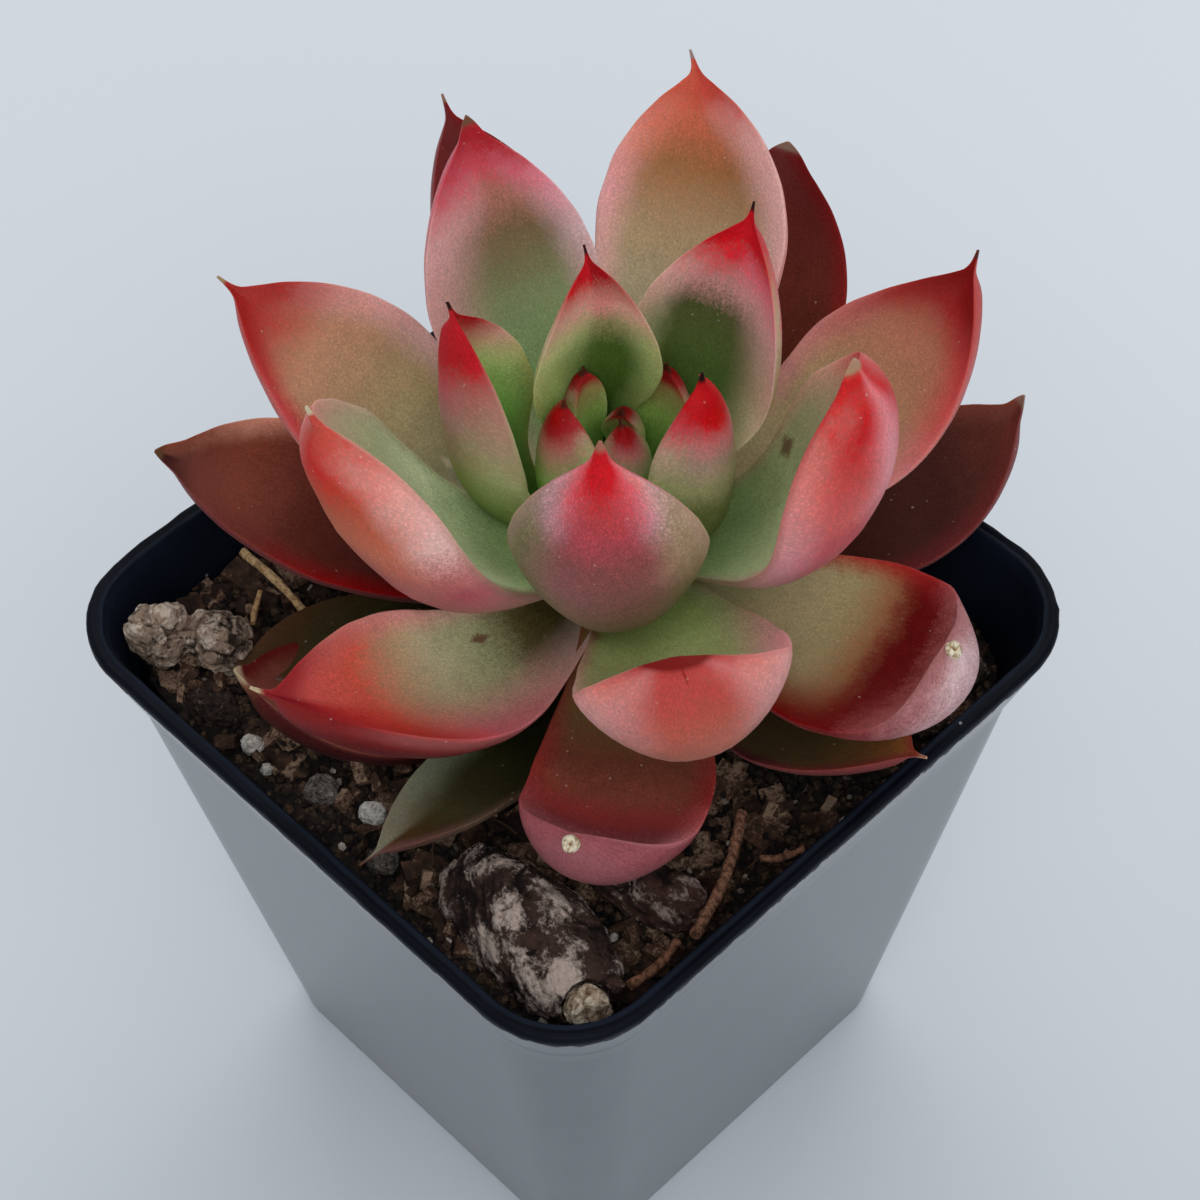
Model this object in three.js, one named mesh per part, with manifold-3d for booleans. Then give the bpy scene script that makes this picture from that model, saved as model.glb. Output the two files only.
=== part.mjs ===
// Potted echeveria: a leafy rosette on a short stem, in a square plastic nursery pot
// filled with soil, bark, stones and twigs. Millimetres, +Z up. The origin is the centre
// of the pot's underside, and the pot's sides run along X and Y.

import * as THREE from 'three';
import { mergeVertices } from 'three/addons/utils/BufferGeometryUtils.js';
import { ImprovedNoise } from 'three/addons/math/ImprovedNoise.js';
import Module from 'manifold-3d';

const wasm = await Module();
wasm.setup();

// Gap kept between neighbouring solids, and how far a skin moves out to leave it
const GAP = 0.3;
const ROOM = 0.42;

// Pot
const RIM_SIDE = 85;
const POT_HEIGHT = 85;
const RIM_CORNER = 12.3;
const FOOT_SIDE = 56.6;
const FOOT_CORNER = 6;
const COLLAR_HEIGHT = 9.4;
const COLLAR_FOOT_SIDE = 79.7;
const WALL_TOP_SIDE = 78.9;
const COLLAR_STEP = 0.4;
const LIP_HEIGHT = 1.7;
const LIP_WIDTH = 1.9;
const LIP_EDGE = 0.4;
const CORNER_TAPER = 1;
const WALL = 1.1;
const FLOOR = 2;
const DRAIN_RADIUS = 4;
const DRAIN_OFFSET = 15;
const DRAIN_SIDES = 12;
const CORNERS = [[1, 1], [-1, 1], [-1, -1], [1, -1]];
const CORNER_STEPS = 4;

// Soil
const SOIL_LEVEL = 75;
const SOIL_LUMP = 1.4;
const SOIL_TILT = 0.035;
const SOIL_LUMP_LENGTH = 7;
const SOIL_GRAIN_SHARE = 0.6;
const SOIL_GRAIN_RATE = 2.1;
const SOIL_LAYERS = { broad: 0.5, fine: 7.5 };
const SOIL_RINGS = 7;
const SOIL_SPAN = 6;
const STEM_HOLE_FOOT = 54.7;

// Stem, which stands off the pot's centre
const STEM_X = -0.5;
const STEM_Y = 8;
const STEM_FOOT = 55;
const STEM_TOP = 100;
const STEM_RADIUS = 4.3;
const STEM_TIP_RADIUS = 2.5;
const STEM_SIDES = 12;
const STEM_FOOT_RADIUS = 3.5;
const STEM_SWELL_HEIGHT = 70;
const STEM_DOME = 1;

// Leaf spiral. A leaf's age is its place in the spiral, the youngest being the lowest number.
const GOLDEN_TURN = 137.5;
const YOUNGEST_AGE = -6;
const TAPER_AGES = 12;
const AGE_STEP = 0.65;
const FIRST_TURN = 190;
const FRONT_TURN = -43.5;

// Leaf blade
const ROOT_LENGTH = 1.6;
const ROOT_PULL = 0.38;
const TIP_PULL = 0.33;
const UPPER_SHARE = 0.15;
const LOWER_SHARE = 0.85;
const MARGIN_HALF = 0.35;
const TIP_THICKNESS = 0.8;
const TWIST_START = 0.55;
const TWIST_END = 0.95;
const BLADE_STATIONS = [0, 0.1, 0.22, 0.36, 0.5, 0.61, 0.71, 0.8, 0.87, 0.925, 0.965, 1];
const SMALL_STATIONS = [0, 0.14, 0.3, 0.48, 0.62, 0.76, 0.88, 0.94, 1];
const SMALL_WIDTH = 16;
const BLADE_SIDES = 8;

// Half width along a leaf with a drawn-out tip and along one with a rounded tip, as shares
const POINTED = [
  [0, 0.48], [0.12, 0.5], [0.3, 0.7], [0.46, 0.92], [0.59, 1], [0.7, 0.91],
  [0.8, 0.69], [0.88, 0.38], [0.925, 0.18], [0.96, 0.08], [1, 0.02],
];
const ROUNDED = [
  [0, 0.48], [0.12, 0.5], [0.3, 0.68], [0.5, 0.92], [0.65, 1], [0.78, 0.99],
  [0.87, 0.88], [0.93, 0.66], [0.965, 0.38], [0.985, 0.13], [1, 0.02],
];
// Thickness along a leaf, as a share: a thin foot, a fleshy middle and a fine tip
const FLESH = [
  [0, 0.34], [0.15, 0.62], [0.4, 1], [0.65, 0.92],
  [0.8, 0.72], [0.9, 0.48], [0.96, 0.26], [1, 0.1],
];

// The leaves, youngest first. Each has its age, the turn in degrees by which it strays from the
// spiral, its tip's reach from the stem and height over the pot's underside, the midline's rise in
// degrees at the stem and at the tip, its width and thickness, its roll about the midline, the
// depth of its hollow, the roundness of its tip and the tip's bend sideways in degrees. Some have
// a hollow that is deeper by a share on the right than on the left, and a twist near the tip.
const LEAVES = [
  leaf('heart_leaf_1', -3, -16, [5, 115], [62, 83], [5.4, 3], 0, 0.4, 0.2, -4),
  leaf('heart_leaf_2', -2, 29, [8, 113], [52, 86], [9, 3.2], 14, 0.4, 0.1, 2),
  leaf('heart_leaf_3', -1, -33, [6, 117], [45, 87], [9.6, 3.4], 0, 0.5, 0.1, 0),
  leaf('inner_leaf_1', 0, 21, [7, 131], [46, 50], [14, 4], -18, 0.6, 0, -6),
  leaf('inner_leaf_2', 1, 0, [10.4, 124.2], [16, 92], [14.5, 4], 9, 0.5, 0.1, 5),
  leaf('inner_leaf_3', 2, 2, [17, 130], [0, 70], [13, 5.2], -22, 0.85, 0, -6, 0.3),
  leaf('inner_leaf_4', 3, -19, [20, 129.6], [40, 64], [18, 5], 21, 0.7, 0, 13),
  leaf('inner_leaf_5', 4, -3, [21, 132], [8, 114], [20.8, 5], 0, 0.3, 0.1, -2),
  leaf('middle_leaf_1', 5, -9, [29, 132], [20, 70], [20, 6], -11, 0.5, 0.2, -2),
  leaf('middle_leaf_2', 6, -21, [26, 132], [12, 110], [24, 6], 12, 0.43, 0.3, 0, 0.08, -16),
  leaf('middle_leaf_3', 7, -8, [34, 131], [10, 73], [25, 7], 1, 0.32, 0, -4, -0.08, 16),
  leaf('middle_leaf_4', 8, -18, [46, 122], [46, 32], [24, 6], -14, 0.4, 0, 16),
  leaf('middle_leaf_5', 9, -18, [38, 119], [10, 127], [23, 6], 3, 0.4, 1, -7),
  leaf('outer_leaf_1', 10, -6, [46, 117], [-4, 40], [21, 6], -13, 0.4, 0, 0),
  leaf('outer_leaf_2', 11, -9, [43, 118], [2, 78], [20, 6], 20, 0.6, 0, 4),
  leaf('outer_leaf_3', 12, 23, [42, 94], [-20, 93], [20, 6], -11, 0.3, 0.9, -11),
  leaf('outer_leaf_4', 13, 1, [47, 118], [12, 42], [19, 6], 13, 0.4, 0, 0),
  leaf('outer_leaf_5', 14, -12, [42, 103], [12, 114], [23, 6], 7, 0.3, 0.7, 0),
  leaf('outer_leaf_6', 15, 35, [48, 103], [-10, 43], [19, 6], -13, 0.6, 0, -16),
  leaf('outer_leaf_7', 16, 0, [48, 109], [4, 50], [23, 6], 12, 0.4, 0.4, 4),
  leaf('outer_leaf_8', 18, 0, [42, 102], [-4, 45], [19, 6], 0, 0.4, 0, 0),
  leaf('lower_leaf_1', 19, 0, [48, 98], [7, 64], [19, 5], 10, 0.3, 0.2, 8),
  leaf('lower_leaf_2', 20, -20, [45, 84], [-30, 54], [21, 6], 4, 0.2, 0.3, -14),
  leaf('lower_leaf_3', 21, 0, [38, 97], [0, 40], [19, 5], 0, 0.3, 0, 0),
  leaf('lower_leaf_4', 22, 0, [44, 89], [-10, 28], [19, 4], 6, 0.3, 0, 2),
  leaf('lower_leaf_5', 23, -10, [53, 96], [-9, 26], [21, 5], -1, 0.3, 0.3, 2),
  leaf('lower_leaf_6', 24, 8, [39, 98], [6, 30], [17, 4], 0, 0.3, 0, 0),
  leaf('lower_leaf_7', 25, -21, [48, 84], [-24, -5], [11, 4], -4, 0.3, 0, -8),
  leaf('lower_leaf_8', 26, 0, [40, 86], [-16, 20], [15, 4], 0, 0.3, 0, 0),
  leaf('lower_leaf_9', 28, -20, [45, 80], [-26, 6], [15, 4], 3, 0.3, 0.3, 2),
];

// The two smallest leaves, which close the rosette's heart in one bud
const BUD_LEAVES = [
  leaf('bud_leaf_1', -5, 0, [1, 111], [66, 110], [5, 2.5], 0, 0.4, 0, 0),
  leaf('bud_leaf_2', -4, 0, [1, 112], [54, 114], [6, 2.5], 0, 0.4, 0, 0),
];

// Stones and bark. Each has its lumps, as a centre and half sizes, its turn about Z in degrees,
// the depth of its surface's hollows as a share, and the fineness of its facets.
const STONES = [
  stone('left_stone', 'stone', [
    [-32.9, -33.7, 81.2, 4.3, 4.3, 5],
    [-28.2, -28.8, 80, 4.8, 4.6, 4.4],
  ], 0, 0.24, 2),
  stone('tan_chip', 'tan', [[35.2, -32.2, 79, 3, 2.8, 3]], 30, 0.2, 1),
  stone('front_bark', 'bark', [[24.4, -29.6, 77.5, 15, 8, 6]], -4, 0.3, 2),
  stone('side_bark', 'bark', [[29.2, -16.8, 77.4, 8.6, 4.4, 4]], 20, 0.26, 2),
  stone('left_chip', 'bark', [[-23.5, -34.4, 77, 4, 2.6, 2.6]], 12, 0.2, 1),
  stone('right_chip_1', 'bark', [[32, 31, 73.6, 4, 3.4, 2.6]], 40, 0.2, 1),
  stone('right_chip_2', 'bark', [[34.4, 22.5, 74.4, 2.8, 3.2, 2.4]], 0, 0.2, 1),
  stone('gravel_1', 'stone', [[-6, -33.2, 77.2, 2.4, 2.2, 1.9]], 0, 0.2, 1),
  stone('gravel_2', 'stone', [[5.6, -34.6, 77, 2.2, 2, 1.7]], 25, 0.2, 1),
  stone('perlite_1', 'perlite', [[-16, -34.8, 77.6, 1.5, 1.4, 1.4]], 0, 0.12, 1),
  stone('perlite_2', 'perlite', [[0.6, -31.6, 77.8, 1.8, 1.6, 1.6]], 15, 0.12, 1),
  stone('perlite_3', 'perlite', [[-12.4, -35.8, 77.4, 0.9, 0.9, 0.9]], 0, 0.12, 0),
];
const STONE_ROUGH_LENGTH = 1.1;

// Twigs and straws, each as its radius and the points that its middle runs through
const TWIGS = [
  twig('twig_1', 0.7, [[29.6, -3, 78.2], [34.2, -10.4, 78.7], [37.2, -18.2, 79.2]]),
  twig('twig_2', 0.6, [[35.9, -19.6, 77.9], [36.9, -23.6, 78.8], [36.8, -27.6, 79.6]]),
  twig('twig_3', 0.45, [[34.9, -5.6, 77.6], [36.6, -4, 77.9], [37.6, -1.6, 78.2]]),
  twig('straw_1', 0.55, [[-36.3, -18.6, 79.8], [-30.4, -18.2, 78.8], [-25, -18.6, 77.8]]),
  twig('straw_2', 0.4, [[-31.5, -20.2, 77.9], [-30, -22.2, 78], [-28.4, -24, 78.2]]),
];
const TWIG_SIDES = 6;
const TWIG_STEPS = 4;

const MATERIALS = {
  pot: new THREE.MeshStandardMaterial({ color: 0x7c8489, roughness: 0.5, metalness: 0 }),
  soil: new THREE.MeshStandardMaterial({ color: 0x33261f, roughness: 1, metalness: 0 }),
  stem: new THREE.MeshStandardMaterial({ color: 0x8a7a55, roughness: 0.8, metalness: 0 }),
  heart: new THREE.MeshStandardMaterial({ color: 0x7f9a5c, roughness: 0.45, metalness: 0 }),
  inner: new THREE.MeshStandardMaterial({ color: 0x8c9a68, roughness: 0.45, metalness: 0 }),
  middle: new THREE.MeshStandardMaterial({ color: 0xb07a68, roughness: 0.45, metalness: 0 }),
  outer: new THREE.MeshStandardMaterial({ color: 0xa05c50, roughness: 0.45, metalness: 0 }),
  lower: new THREE.MeshStandardMaterial({ color: 0x7c3a36, roughness: 0.5, metalness: 0 }),
  stone: new THREE.MeshStandardMaterial({ color: 0x85796c, roughness: 0.95, metalness: 0 }),
  bark: new THREE.MeshStandardMaterial({ color: 0x4d3a31, roughness: 0.95, metalness: 0 }),
  tan: new THREE.MeshStandardMaterial({ color: 0xa58f6b, roughness: 0.95, metalness: 0 }),
  perlite: new THREE.MeshStandardMaterial({ color: 0xc9c6c1, roughness: 0.9, metalness: 0 }),
  twig: new THREE.MeshStandardMaterial({ color: 0x6b4a35, roughness: 0.9, metalness: 0 }),
};

const part = new THREE.Group();

const stem = solidOf(stemGeometry());
const stemRoom = solidOf(stemGeometry(), ROOM);
const twigs = TWIGS.map((entry) => ({ ...entry, solid: solidOf(twigGeometry(entry)) }));
const { leaves, leafRoom } = leafSolids();
const stones = stoneSolids();

addNode('pot', potSolid(), 'pot');
addNode('soil', soilSolid(), 'soil');
addNode('stem', stem, 'stem');
for (const entry of leaves) {
  addNode(entry.name, entry.solid, entry.name.split('_')[0]);
}
for (const entry of stones) {
  addNode(entry.name, entry.solid, entry.kind);
}
for (const entry of twigs) {
  addNode(entry.name, entry.solid, 'twig');
}

export default part;

// Records

function leaf(name, age, turn, [reach, height], [riseIn, riseOut], [width, thick], ...form) {
  const [roll, cup, blunt, bend, skew = 0, twist = 0] = form;
  const blade = { width, thick, roll, cup, blunt, bend, skew, twist };
  return { name, age, turn, reach, height, riseIn, riseOut, ...blade };
}

function stone(name, kind, lumps, turn, rough, detail) {
  return { name, kind, lumps, turn, rough, detail };
}

function twig(name, radius, points) {
  return { name, radius, points: points.map((p) => new THREE.Vector3(...p)) };
}

// Solids and meshes

// A closed mesh as a solid, its skin moved outwards by grow where it makes room for a neighbour
function solidOf(geometry, grow = 0) {
  geometry.deleteAttribute('normal');
  geometry.deleteAttribute('uv');
  const merged = mergeVertices(geometry);
  if (grow > 0) moveSkin(merged, grow);
  const vertProperties = new Float32Array(merged.attributes.position.array);
  const triVerts = new Uint32Array(merged.index.array);
  return new wasm.Manifold(new wasm.Mesh({ numProp: 3, vertProperties, triVerts }));
}

function moveSkin(geometry, grow) {
  geometry.computeVertexNormals();
  const { position, normal } = geometry.attributes;
  for (let k = 0; k < position.count; k += 1) {
    position.setXYZ(
      k,
      position.getX(k) + grow * normal.getX(k),
      position.getY(k) + grow * normal.getY(k),
      position.getZ(k) + grow * normal.getZ(k),
    );
  }
}

function addNode(name, solid, material) {
  const { vertProperties, triVerts } = solid.getMesh();
  const geometry = new THREE.BufferGeometry();
  geometry.setAttribute('position', new THREE.BufferAttribute(new Float32Array(vertProperties), 3));
  geometry.setIndex(new THREE.BufferAttribute(new Uint32Array(triVerts), 1));
  geometry.computeVertexNormals();
  const mesh = new THREE.Mesh(geometry, MATERIALS[material].clone());
  mesh.name = name;
  part.add(mesh);
}

// The largest body left of a solid once its neighbours are cut from it
function largestBody(solid) {
  const bodies = solid.decompose();
  return bodies.reduce((best, body) => (body.volume() > best.volume() ? body : best));
}

// A closed skin over rings of the same number of points, capped at both ends
function loft(rings) {
  const count = rings[0].length;
  const points = rings.flat();
  const index = [];
  for (let ring = 0; ring < rings.length - 1; ring += 1) {
    for (let k = 0; k < count; k += 1) {
      const a = ring * count + k;
      const b = ring * count + ((k + 1) % count);
      index.push(a, b, b + count, a, b + count, a + count);
    }
  }
  const last = (rings.length - 1) * count;
  const foot = points.push(centreOf(rings[0])) - 1;
  const head = points.push(centreOf(rings[rings.length - 1])) - 1;
  for (let k = 0; k < count; k += 1) {
    index.push(foot, (k + 1) % count, k);
    index.push(head, last + k, last + ((k + 1) % count));
  }
  const geometry = new THREE.BufferGeometry();
  const values = new Float32Array(points.flatMap((p) => [p.x, p.y, p.z]));
  geometry.setAttribute('position', new THREE.BufferAttribute(values, 3));
  geometry.setIndex(index);
  return geometry;
}

function centreOf(ring) {
  const centre = new THREE.Vector3();
  ring.forEach((p) => centre.add(p));
  return centre.divideScalar(ring.length);
}

// Linear step through a list of [place, value] pairs
function shareAt(profile, place) {
  const next = profile.findIndex(([at]) => at >= place);
  if (next <= 0) return profile[0][1];
  const [fromAt, from] = profile[next - 1];
  const [toAt, to] = profile[next];
  return THREE.MathUtils.mapLinear(place, fromAt, toAt, from, to);
}

// Pot

// A square ring with round corners, run anticlockwise from the +X side
function squareRing(side, radius, height) {
  const ring = [];
  const middle = side / 2 - radius;
  CORNERS.forEach(([x, y], corner) => {
    for (let step = 0; step <= CORNER_STEPS; step += 1) {
      const angle = (corner + step / CORNER_STEPS) * (Math.PI / 2);
      const cornerX = x * middle + radius * Math.cos(angle);
      const cornerY = y * middle + radius * Math.sin(angle);
      ring.push(new THREE.Vector3(cornerX, cornerY, height));
    }
  });
  return ring;
}

function potSolid() {
  const collarFoot = POT_HEIGHT - COLLAR_HEIGHT;
  const lipFoot = POT_HEIGHT - LIP_HEIGHT;
  const bore = RIM_SIDE - 2 * LIP_WIDTH;
  const rings = [
    squareRing(FOOT_SIDE, FOOT_CORNER, 0),
    squareRing(WALL_TOP_SIDE, RIM_CORNER - CORNER_TAPER, collarFoot - COLLAR_STEP),
    squareRing(COLLAR_FOOT_SIDE, RIM_CORNER - CORNER_TAPER + COLLAR_STEP, collarFoot),
    squareRing(RIM_SIDE - LIP_EDGE, RIM_CORNER, lipFoot),
    squareRing(RIM_SIDE, RIM_CORNER, lipFoot + LIP_EDGE),
    squareRing(RIM_SIDE, RIM_CORNER, POT_HEIGHT - LIP_EDGE),
    squareRing(RIM_SIDE - LIP_EDGE, RIM_CORNER, POT_HEIGHT),
    squareRing(bore, RIM_CORNER - LIP_WIDTH, POT_HEIGHT),
    squareRing(cavitySide(collarFoot), RIM_CORNER - CORNER_TAPER - WALL, collarFoot),
    squareRing(cavitySide(FLOOR), FOOT_CORNER - WALL, FLOOR),
  ];
  let pot = solidOf(loft(rings));
  for (const [x, y] of CORNERS) {
    const drain = new THREE.CylinderGeometry(DRAIN_RADIUS, DRAIN_RADIUS, 3 * FLOOR, DRAIN_SIDES);
    drain.rotateX(Math.PI / 2);
    drain.translate(x * DRAIN_OFFSET, y * DRAIN_OFFSET, FLOOR / 2);
    pot = pot.subtract(solidOf(drain));
  }
  return pot;
}

// Side of the pot's square inside at a height
function cavitySide(height) {
  const collarFoot = POT_HEIGHT - COLLAR_HEIGHT;
  const top = WALL_TOP_SIDE - 2 * WALL;
  const foot = FOOT_SIDE - 2 * WALL;
  if (height <= collarFoot) return THREE.MathUtils.mapLinear(height, 0, collarFoot, foot, top);
  return THREE.MathUtils.mapLinear(height, collarFoot, POT_HEIGHT, top, RIM_SIDE - 2 * LIP_WIDTH);
}

// Soil

function soilHeight(x, y) {
  const noise = new ImprovedNoise();
  const u = x / SOIL_LUMP_LENGTH;
  const v = y / SOIL_LUMP_LENGTH;
  const broad = noise.noise(u, v, SOIL_LAYERS.broad);
  const fine = noise.noise(SOIL_GRAIN_RATE * u, SOIL_GRAIN_RATE * v, SOIL_LAYERS.fine);
  return SOIL_LEVEL - SOIL_TILT * (x + y) + SOIL_LUMP * (broad + SOIL_GRAIN_SHARE * fine);
}

function soilSolid() {
  const rings = [];
  const foot = FLOOR + GAP;
  const inset = (height) => cavitySide(height) - 2 * GAP;
  const corner = (height) => THREE.MathUtils.mapLinear(height, 0, SOIL_LEVEL, FOOT_CORNER, RIM_CORNER);
  const edge = SOIL_LEVEL - SOIL_TILT * RIM_SIDE - 2 * SOIL_LUMP;
  const rim = subdivided(squareRing(inset(edge), corner(edge), edge));
  const shrink = inset(foot) / inset(edge);
  rings.push(rim.map((p) => new THREE.Vector3(shrink * p.x, shrink * p.y, foot)));
  rings.push(rim);
  const holeRadius = STEM_RADIUS + GAP;
  for (let step = 0; step <= SOIL_RINGS; step += 1) {
    const share = step / SOIL_RINGS;
    rings.push(rim.map((p) => {
      const angle = Math.atan2(p.y - STEM_Y, p.x - STEM_X);
      const x = THREE.MathUtils.lerp(p.x, STEM_X + holeRadius * Math.cos(angle), share);
      const y = THREE.MathUtils.lerp(p.y, STEM_Y + holeRadius * Math.sin(angle), share);
      return new THREE.Vector3(x, y, soilHeight(x, y));
    }));
  }
  const hole = rings[rings.length - 1];
  rings.push(hole.map((p) => new THREE.Vector3(p.x, p.y, STEM_HOLE_FOOT)));
  let soil = solidOf(loft(rings));
  for (const entry of STONES) {
    soil = soil.subtract(stoneLumps(entry, ROOM));
  }
  for (const entry of TWIGS) {
    soil = soil.subtract(solidOf(twigGeometry(entry), ROOM));
  }
  return largestBody(soil.subtract(leafRoom));
}

// A ring with its long sides divided
function subdivided(ring) {
  const fine = [];
  ring.forEach((p, k) => {
    const next = ring[(k + 1) % ring.length];
    const parts = Math.max(1, Math.round(p.distanceTo(next) / SOIL_SPAN));
    for (let step = 0; step < parts; step += 1) {
      fine.push(p.clone().lerp(next, step / parts));
    }
  });
  return fine;
}

// Stem

function stemGeometry() {
  const outline = [
    [0, STEM_FOOT],
    [STEM_FOOT_RADIUS, STEM_FOOT],
    [STEM_RADIUS, STEM_SWELL_HEIGHT],
    [STEM_RADIUS, STEM_TOP - TAPER_AGES * AGE_STEP],
    [STEM_TIP_RADIUS, STEM_TOP],
    [STEM_TIP_RADIUS / 2, STEM_TOP + 0.8 * STEM_DOME],
    [0, STEM_TOP + STEM_DOME],
  ];
  const points = outline.map(([radius, height]) => new THREE.Vector2(radius, height));
  const geometry = new THREE.LatheGeometry(points, STEM_SIDES);
  geometry.rotateX(Math.PI / 2);
  geometry.translate(STEM_X, STEM_Y, 0);
  return geometry;
}

// Leaves

// The midline runs in an upright plane through the stem, from the leaf's foot to its tip
function leafMidline(entry) {
  const place = entry.age - YOUNGEST_AGE;
  const taper = Math.min(place, TAPER_AGES) / TAPER_AGES;
  const foot = new THREE.Vector2(
    THREE.MathUtils.lerp(STEM_TIP_RADIUS, STEM_RADIUS, taper),
    STEM_TOP - AGE_STEP * place,
  );
  const tip = new THREE.Vector2(entry.reach, entry.height);
  const chord = foot.distanceTo(tip);
  const leaving = slope(entry.riseIn).multiplyScalar(ROOT_PULL * chord).add(foot);
  const arriving = slope(entry.riseOut).multiplyScalar(-TIP_PULL * chord).add(tip);
  return new THREE.CubicBezierCurve(foot, leaving, arriving, tip);
}

function slope(degrees) {
  const angle = THREE.MathUtils.degToRad(degrees);
  return new THREE.Vector2(Math.cos(angle), Math.sin(angle));
}

function leafRing(entry, midline, place) {
  const turn = FIRST_TURN - GOLDEN_TURN * entry.age + entry.turn + entry.bend * place * place;
  const heading = THREE.MathUtils.degToRad(FRONT_TURN + turn);
  const out = new THREE.Vector3(Math.cos(heading), Math.sin(heading), 0);
  const across = new THREE.Vector3(-Math.sin(heading), Math.cos(heading), 0);
  const up = new THREE.Vector3(0, 0, 1);
  const point = midline.getPointAt(place);
  const tangent = midline.getTangentAt(place);
  const face = out.clone().multiplyScalar(-tangent.y).addScaledVector(up, tangent.x);
  const twist = entry.twist * THREE.MathUtils.smoothstep(place, TWIST_START, TWIST_END);
  const roll = THREE.MathUtils.degToRad(entry.roll * Math.min(1, 2 * place) + twist);
  const side = across.clone().multiplyScalar(Math.cos(roll)).addScaledVector(face, Math.sin(roll));
  const normal = across.clone().multiplyScalar(-Math.sin(roll)).addScaledVector(face, Math.cos(roll));
  const lead = place === 0 ? ROOT_LENGTH : 0;
  const centre = new THREE.Vector3(STEM_X, STEM_Y, 0)
    .addScaledVector(out, point.x - lead * tangent.x)
    .addScaledVector(up, point.y - lead * tangent.y);
  const share = THREE.MathUtils.lerp(shareAt(POINTED, place), shareAt(ROUNDED, place), entry.blunt);
  const half = Math.max(MARGIN_HALF, (entry.width / 2) * share);
  const thick = Math.max(TIP_THICKNESS, entry.thick * shareAt(FLESH, place));
  const ring = [];
  for (let k = 0; k < BLADE_SIDES; k += 1) {
    const angle = (2 * Math.PI * k) / BLADE_SIDES;
    const x = Math.cos(angle);
    const rise = Math.sin(angle);
    const lens = rise * thick * (rise > 0 ? UPPER_SHARE : LOWER_SHARE);
    const hollow = entry.cup * (1 + entry.skew * Math.sign(x)) * half * x * x;
    ring.push(centre.clone()
      .addScaledVector(side, half * x)
      .addScaledVector(normal, lens + hollow));
  }
  return ring;
}

function leafSolid(entry, grow = 0) {
  const stations = entry.width < SMALL_WIDTH ? SMALL_STATIONS : BLADE_STATIONS;
  const midline = leafMidline(entry);
  return solidOf(loft(stations.map((place) => leafRing(entry, midline, place))), grow);
}

// Each leaf is cut back where a younger one lies on it, and seats on the stem
function leafSolids() {
  const bud = BUD_LEAVES.map((entry) => leafSolid(entry)).reduce((all, body) => all.add(body));
  const made = [{ name: 'heart_bud', solid: largestBody(bud.subtract(stemRoom)) }];
  let taken = BUD_LEAVES.map((entry) => leafSolid(entry, ROOM)).reduce((all, body) => all.add(body));
  for (const entry of LEAVES) {
    made.push({ name: entry.name, solid: largestBody(leafSolid(entry).subtract(stemRoom).subtract(taken)) });
    taken = taken.add(leafSolid(entry, ROOM));
  }
  return { leaves: made, leafRoom: taken };
}

// Stones and bark

function stoneLumps(entry, grow = 0) {
  const noise = new ImprovedNoise();
  const bodies = entry.lumps.map(([x, y, z, halfX, halfY, halfZ], lump) => {
    const geometry = new THREE.IcosahedronGeometry(1, entry.detail);
    geometry.deleteAttribute('normal');
    geometry.deleteAttribute('uv');
    const merged = mergeVertices(geometry);
    const position = merged.attributes.position;
    const point = new THREE.Vector3();
    for (let k = 0; k < position.count; k += 1) {
      point.fromBufferAttribute(position, k);
      const reach = point.clone().multiplyScalar(STONE_ROUGH_LENGTH).addScalar(x + y + lump);
      const dent = 1 - entry.rough * (0.5 + noise.noise(reach.x, reach.y, reach.z));
      point.set(point.x * halfX * dent, point.y * halfY * dent, point.z * halfZ * dent);
      position.setXYZ(k, point.x, point.y, point.z);
    }
    merged.rotateZ(THREE.MathUtils.degToRad(entry.turn));
    merged.translate(x, y, z);
    return solidOf(merged, grow);
  });
  return bodies.reduce((all, body) => all.add(body));
}

// Each stone is cut back where a leaf, a twig or an earlier stone lies on it
function stoneSolids() {
  let taken = leafRoom;
  for (const entry of TWIGS) {
    taken = taken.add(solidOf(twigGeometry(entry), ROOM));
  }
  return STONES.map((entry) => {
    const solid = largestBody(stoneLumps(entry).subtract(taken));
    taken = taken.add(stoneLumps(entry, ROOM));
    return { ...entry, solid };
  });
}

// Twigs

function twigGeometry(entry) {
  const route = new THREE.CatmullRomCurve3(entry.points);
  const up = new THREE.Vector3(0, 0, 1);
  const rings = [];
  for (let step = 0; step <= TWIG_STEPS; step += 1) {
    const place = step / TWIG_STEPS;
    const tangent = route.getTangentAt(place);
    const side = new THREE.Vector3().crossVectors(up, tangent).normalize();
    const over = new THREE.Vector3().crossVectors(tangent, side);
    const centre = route.getPointAt(place);
    const ring = [];
    for (let k = 0; k < TWIG_SIDES; k += 1) {
      const angle = (2 * Math.PI * k) / TWIG_SIDES;
      ring.push(centre.clone()
        .addScaledVector(side, entry.radius * Math.cos(angle))
        .addScaledVector(over, entry.radius * Math.sin(angle)));
    }
    rings.push(ring);
  }
  return loft(rings);
}
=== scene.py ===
"""Potted echeveria: a waxy rosette with crimson tips in a square nursery pot of soil and bark.

Every size is in millimetres in the classes and in metres in the meshes. The origin is the centre
of the pot's underside, +Z is up, and the pot's sides run along X and Y.
"""

import logging
import math
from dataclasses import dataclass, replace
from enum import Enum
from itertools import product
from typing import Any, Callable, Sequence

import bpy
import numpy as np
from mathutils import Matrix, Vector, noise


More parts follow.
